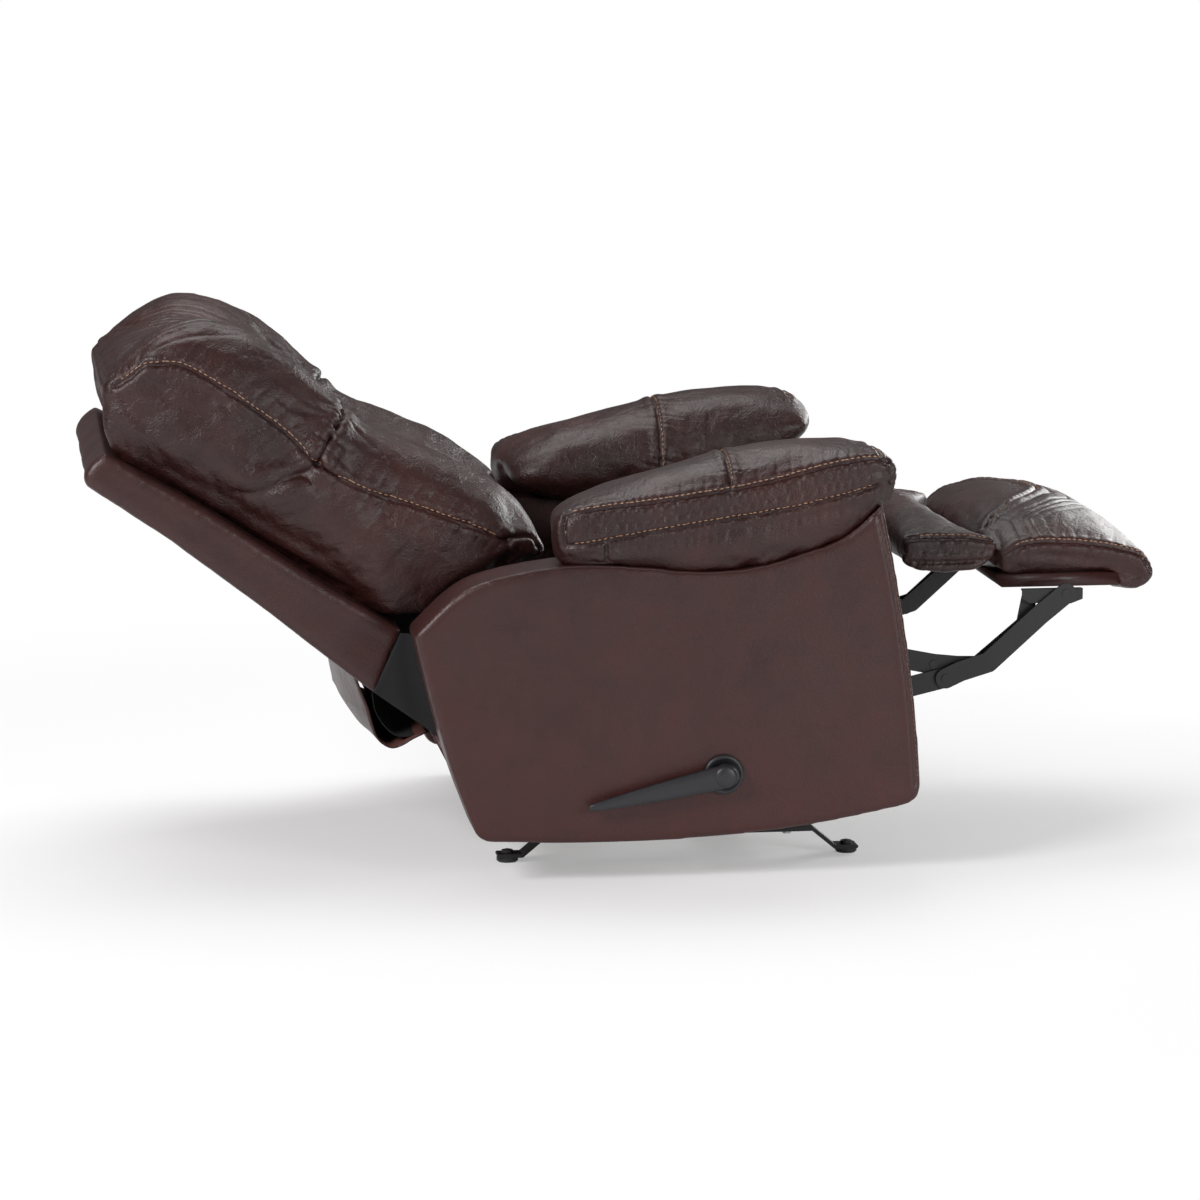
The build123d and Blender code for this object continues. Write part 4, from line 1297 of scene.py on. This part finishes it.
def arc_x(y):
    return 716 - 140 * min(1.0, abs(y) / 215.0) ** 1.5


arc_seam = run_along(
    [(arc_x(y), y, 538 - 30 * (abs(y) / 215.0) ** 3) for y in range(-205, 206, 41)]
)
stuff(rest, rest_sides + [arc_seam], cap=11.0)
finer(rest)


def rest_folds(x, y, z, n):
    up = max(0.0, n[2])
    away = x - arc_x(y) + 10 * wave_of(x, y, 0, 120.0, 2)
    band = crimp(away, 91.0, 30.0) * math.exp(-(((away - 45) / 60.0) ** 2)) * 2.6
    return up * (
        band + 2.2 * wave_of(x, y, z, 75.0, 3)
    ) + (1 - up) * 1.6 * wave_of(x, y, z, 40.0, 4)


dent(rest, rest_folds)
laid = sew(
    rest, rest_sides + [arc_seam], depth=3.8, width=3.0, puff=2.4, gather=2.0, reach=26.0,
    wave=22.0, seed=95
)
rest_thread = stitches(rest, "footrest_thread", laid[:2], 5.6)
arc_thread = stitches(rest, "footrest_arc_thread", laid[2:], 5.0, up=(1, 0, 0))
board = slab_piece(
    "footrest_board_cover", [(601, 418.5), (593, 438), (790, 438), (790, 418.5)], -270.5, 270.5,
    2.6, SMOOTH
)
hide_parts("footrest_cushion")
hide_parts("footrest_board")
for piece in (rest, rest_thread, arc_thread, board):
    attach(piece, "footrest")
print(rest.name, len(rest.data.polygons), "faces")

# %% Bridging pad
BRIDGE_EDGE = [
    (445, 462), (444, 499), (470, 503), (515, 501), (558, 500), (593, 495), (594, 478), (580, 462),
    (560, 450), (510, 444), (470, 449)
]
BRIDGE_MIDDLE = [
    (445, 462), (444, 506), (466, 527), (500, 527), (528, 517), (541, 500), (544, 482), (540, 466),
    (530, 453), (500, 445), (466, 449)
]
bridge = cage("bridging_pad_cover", domed(BRIDGE_EDGE, BRIDGE_MIDDLE, 273, 2.6), SOFT)
even_mesh(bridge, 5.0, 4)
upper_runs = [
    run_along(
        [
            (x, side * 273, z) for x,
            z in ((450, 500), (490, 502), (530, 501), (568, 499), (590, 494))
        ]
    )
    for side in (-1, 1)
]
lower_runs = [
    run_along([(x, side * 272, z) for x, z in ((450, 462), (490, 461), (530, 461), (578, 463))])
    for side in (-1, 1)
]
stuff(bridge, upper_runs + lower_runs, cap=7.0)
finer(bridge)
dent(
    bridge, lambda x, y, z,
    n: 2.0 * wave_of(x, y * 0.6, z, 45.0, 12) + 1.2 * wave_of(x, y, z, 22.0, 13)
)
laid = sew(
    bridge, upper_runs + lower_runs, depth=3.6, width=3.0, puff=2.8, gather=1.2, reach=20.0,
    wave=29.0, seed=101
)
bridge_thread = stitches(bridge, "bridging_pad_thread", laid[:2], 5.0)
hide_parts("chaise_pad")
for piece in (bridge, bridge_thread):
    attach(piece, "chaise")
    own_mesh(piece)
print(bridge.name, len(bridge.data.polygons), "faces")

# %% [markdown]
# ## Release lever
# The lever is a tapered moulding with rounded edges and a domed boss that turns in a raised
# ring. The blade is a row of rounded sections joined end to end; the ring and the boss are
# profiles spun all the way round the pivot.

# %% Lever and ring
PIVOT = Vector((129.0, 0.0, 168.0))


def spun(bm, profile, centre):
    """Spin a profile of (radius, y) points round an axis across the chair."""
    verts = [bm.verts.new((centre + Vector((r, y, 0))) * MM) for r, y in profile]
    edges = [bm.edges.new(pair) for pair in zip(verts, verts[1:])]
    bmesh.ops.spin(
        bm, geom=verts + edges, cent=centre * MM, axis=(0, 1, 0), angle=math.tau, steps=48,
        use_merge=True
    )


def lever():
    bm = bmesh.new()
    turn = math.radians(192.0)
    out = Vector((math.cos(turn), 0, math.sin(turn)))
    up = Vector((-out.z, 0, out.x)) * -1
    sections = [
        (-22, 8, 4, -476), (-20, 20, 9, -475.5), (-14, 31, 14, -475), (-4, 37, 16.5, -474),
        (14, 37, 16, -474), (50, 34, 14.5, -474), (90, 30.5, 13, -474), (150, 22, 11, -474),
        (198, 15, 9.5, -474), (211, 11, 7.5, -474), (215, 5, 3.5, -474)
    ]
    loops = []
    for reach_out, tall, thick, y in sections:
        ring = []
        for k in range(24):
            angle = math.tau * k / 24
            c, s = math.cos(angle), math.sin(angle)
            across = math.copysign(abs(c) ** 0.55, c) * tall / 2
            deep = math.copysign(abs(s) ** 0.8, s) * thick / 2
            ring.append(
                bm.verts.new(
                    (PIVOT + out * reach_out + up * across + Vector((0, y + deep, 0))) * MM
                )
            )
        loops.append([bm.edges.new(pair) for pair in zip(ring, ring[1:] + ring[:1])])
    for near, far in zip(loops, loops[1:]):
        bmesh.ops.bridge_loops(bm, edges=near + far)
    for end in (loops[0], loops[-1]):
        bmesh.ops.contextual_create(bm, geom=end)
    spun(
        bm,
        [(0.0, -485.5), (9, -485.2), (15, -483.6), (18.5, -480), (19, -470), (19, -463), (0, -463)],
        PIVOT
    )
    piece = finished(bm, "lever", PLASTIC)
    smooth = piece.modifiers.new("Smooth", "SUBSURF")
    smooth.levels = smooth.render_levels = 1
    return piece


lever_piece = lever()
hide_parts("handle_lever")
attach(lever_piece, "handle")
bm = bmesh.new()
spun(
    bm,
    [
        (12, -455), (30, -455), (31, -457), (30.5, -460), (28.5, -462), (25, -462), (22.5, -459),
        (12, -458.5), (12, -455)
    ],
    PIVOT
)
ring = finished(bm, "lever_ring", PLASTIC)
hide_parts("handle_plate")
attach(ring, "body")
print("lever and ring", len(lever_piece.data.polygons), len(ring.data.polygons), "faces")

# %% [markdown]
# ## Floor
# A wide, nearly white floor catches the soft shadow.

# %% Floor
bm = bmesh.new()
bmesh.ops.create_grid(bm, x_segments=1, y_segments=1, size=90.0)
f = Finish("studio_floor")
paint = f.node("ShaderNodeBsdfDiffuse", None, {"Color": (0.93, 0.93, 0.935, 1)})
glow = f.node("ShaderNodeEmission", None, {"Color": (1, 1, 1, 1), "Strength": 1.0})
seen_directly = f.node("ShaderNodeLightPath")
away = f.node(
    "ShaderNodeVectorMath", {"operation": "LENGTH"}, {0: f.node("ShaderNodeTexCoord", out=3)}, out=1
)
fade = f.node(
    "ShaderNodeMapRange", {"interpolation_type": "SMOOTHSTEP"},
    {0: away, 1: 0.4, 2: 2.4, 3: 0.32, 4: 1.0}
)
mixed = f.node("ShaderNodeMixShader", None, {0: fade * seen_directly, 1: paint, 2: glow})
f.node("ShaderNodeOutputMaterial", None, {"Surface": mixed})
floor = finished(bm, "floor", f.material)
floor.data.transform(Matrix.Translation((0, 0, -0.0005)))
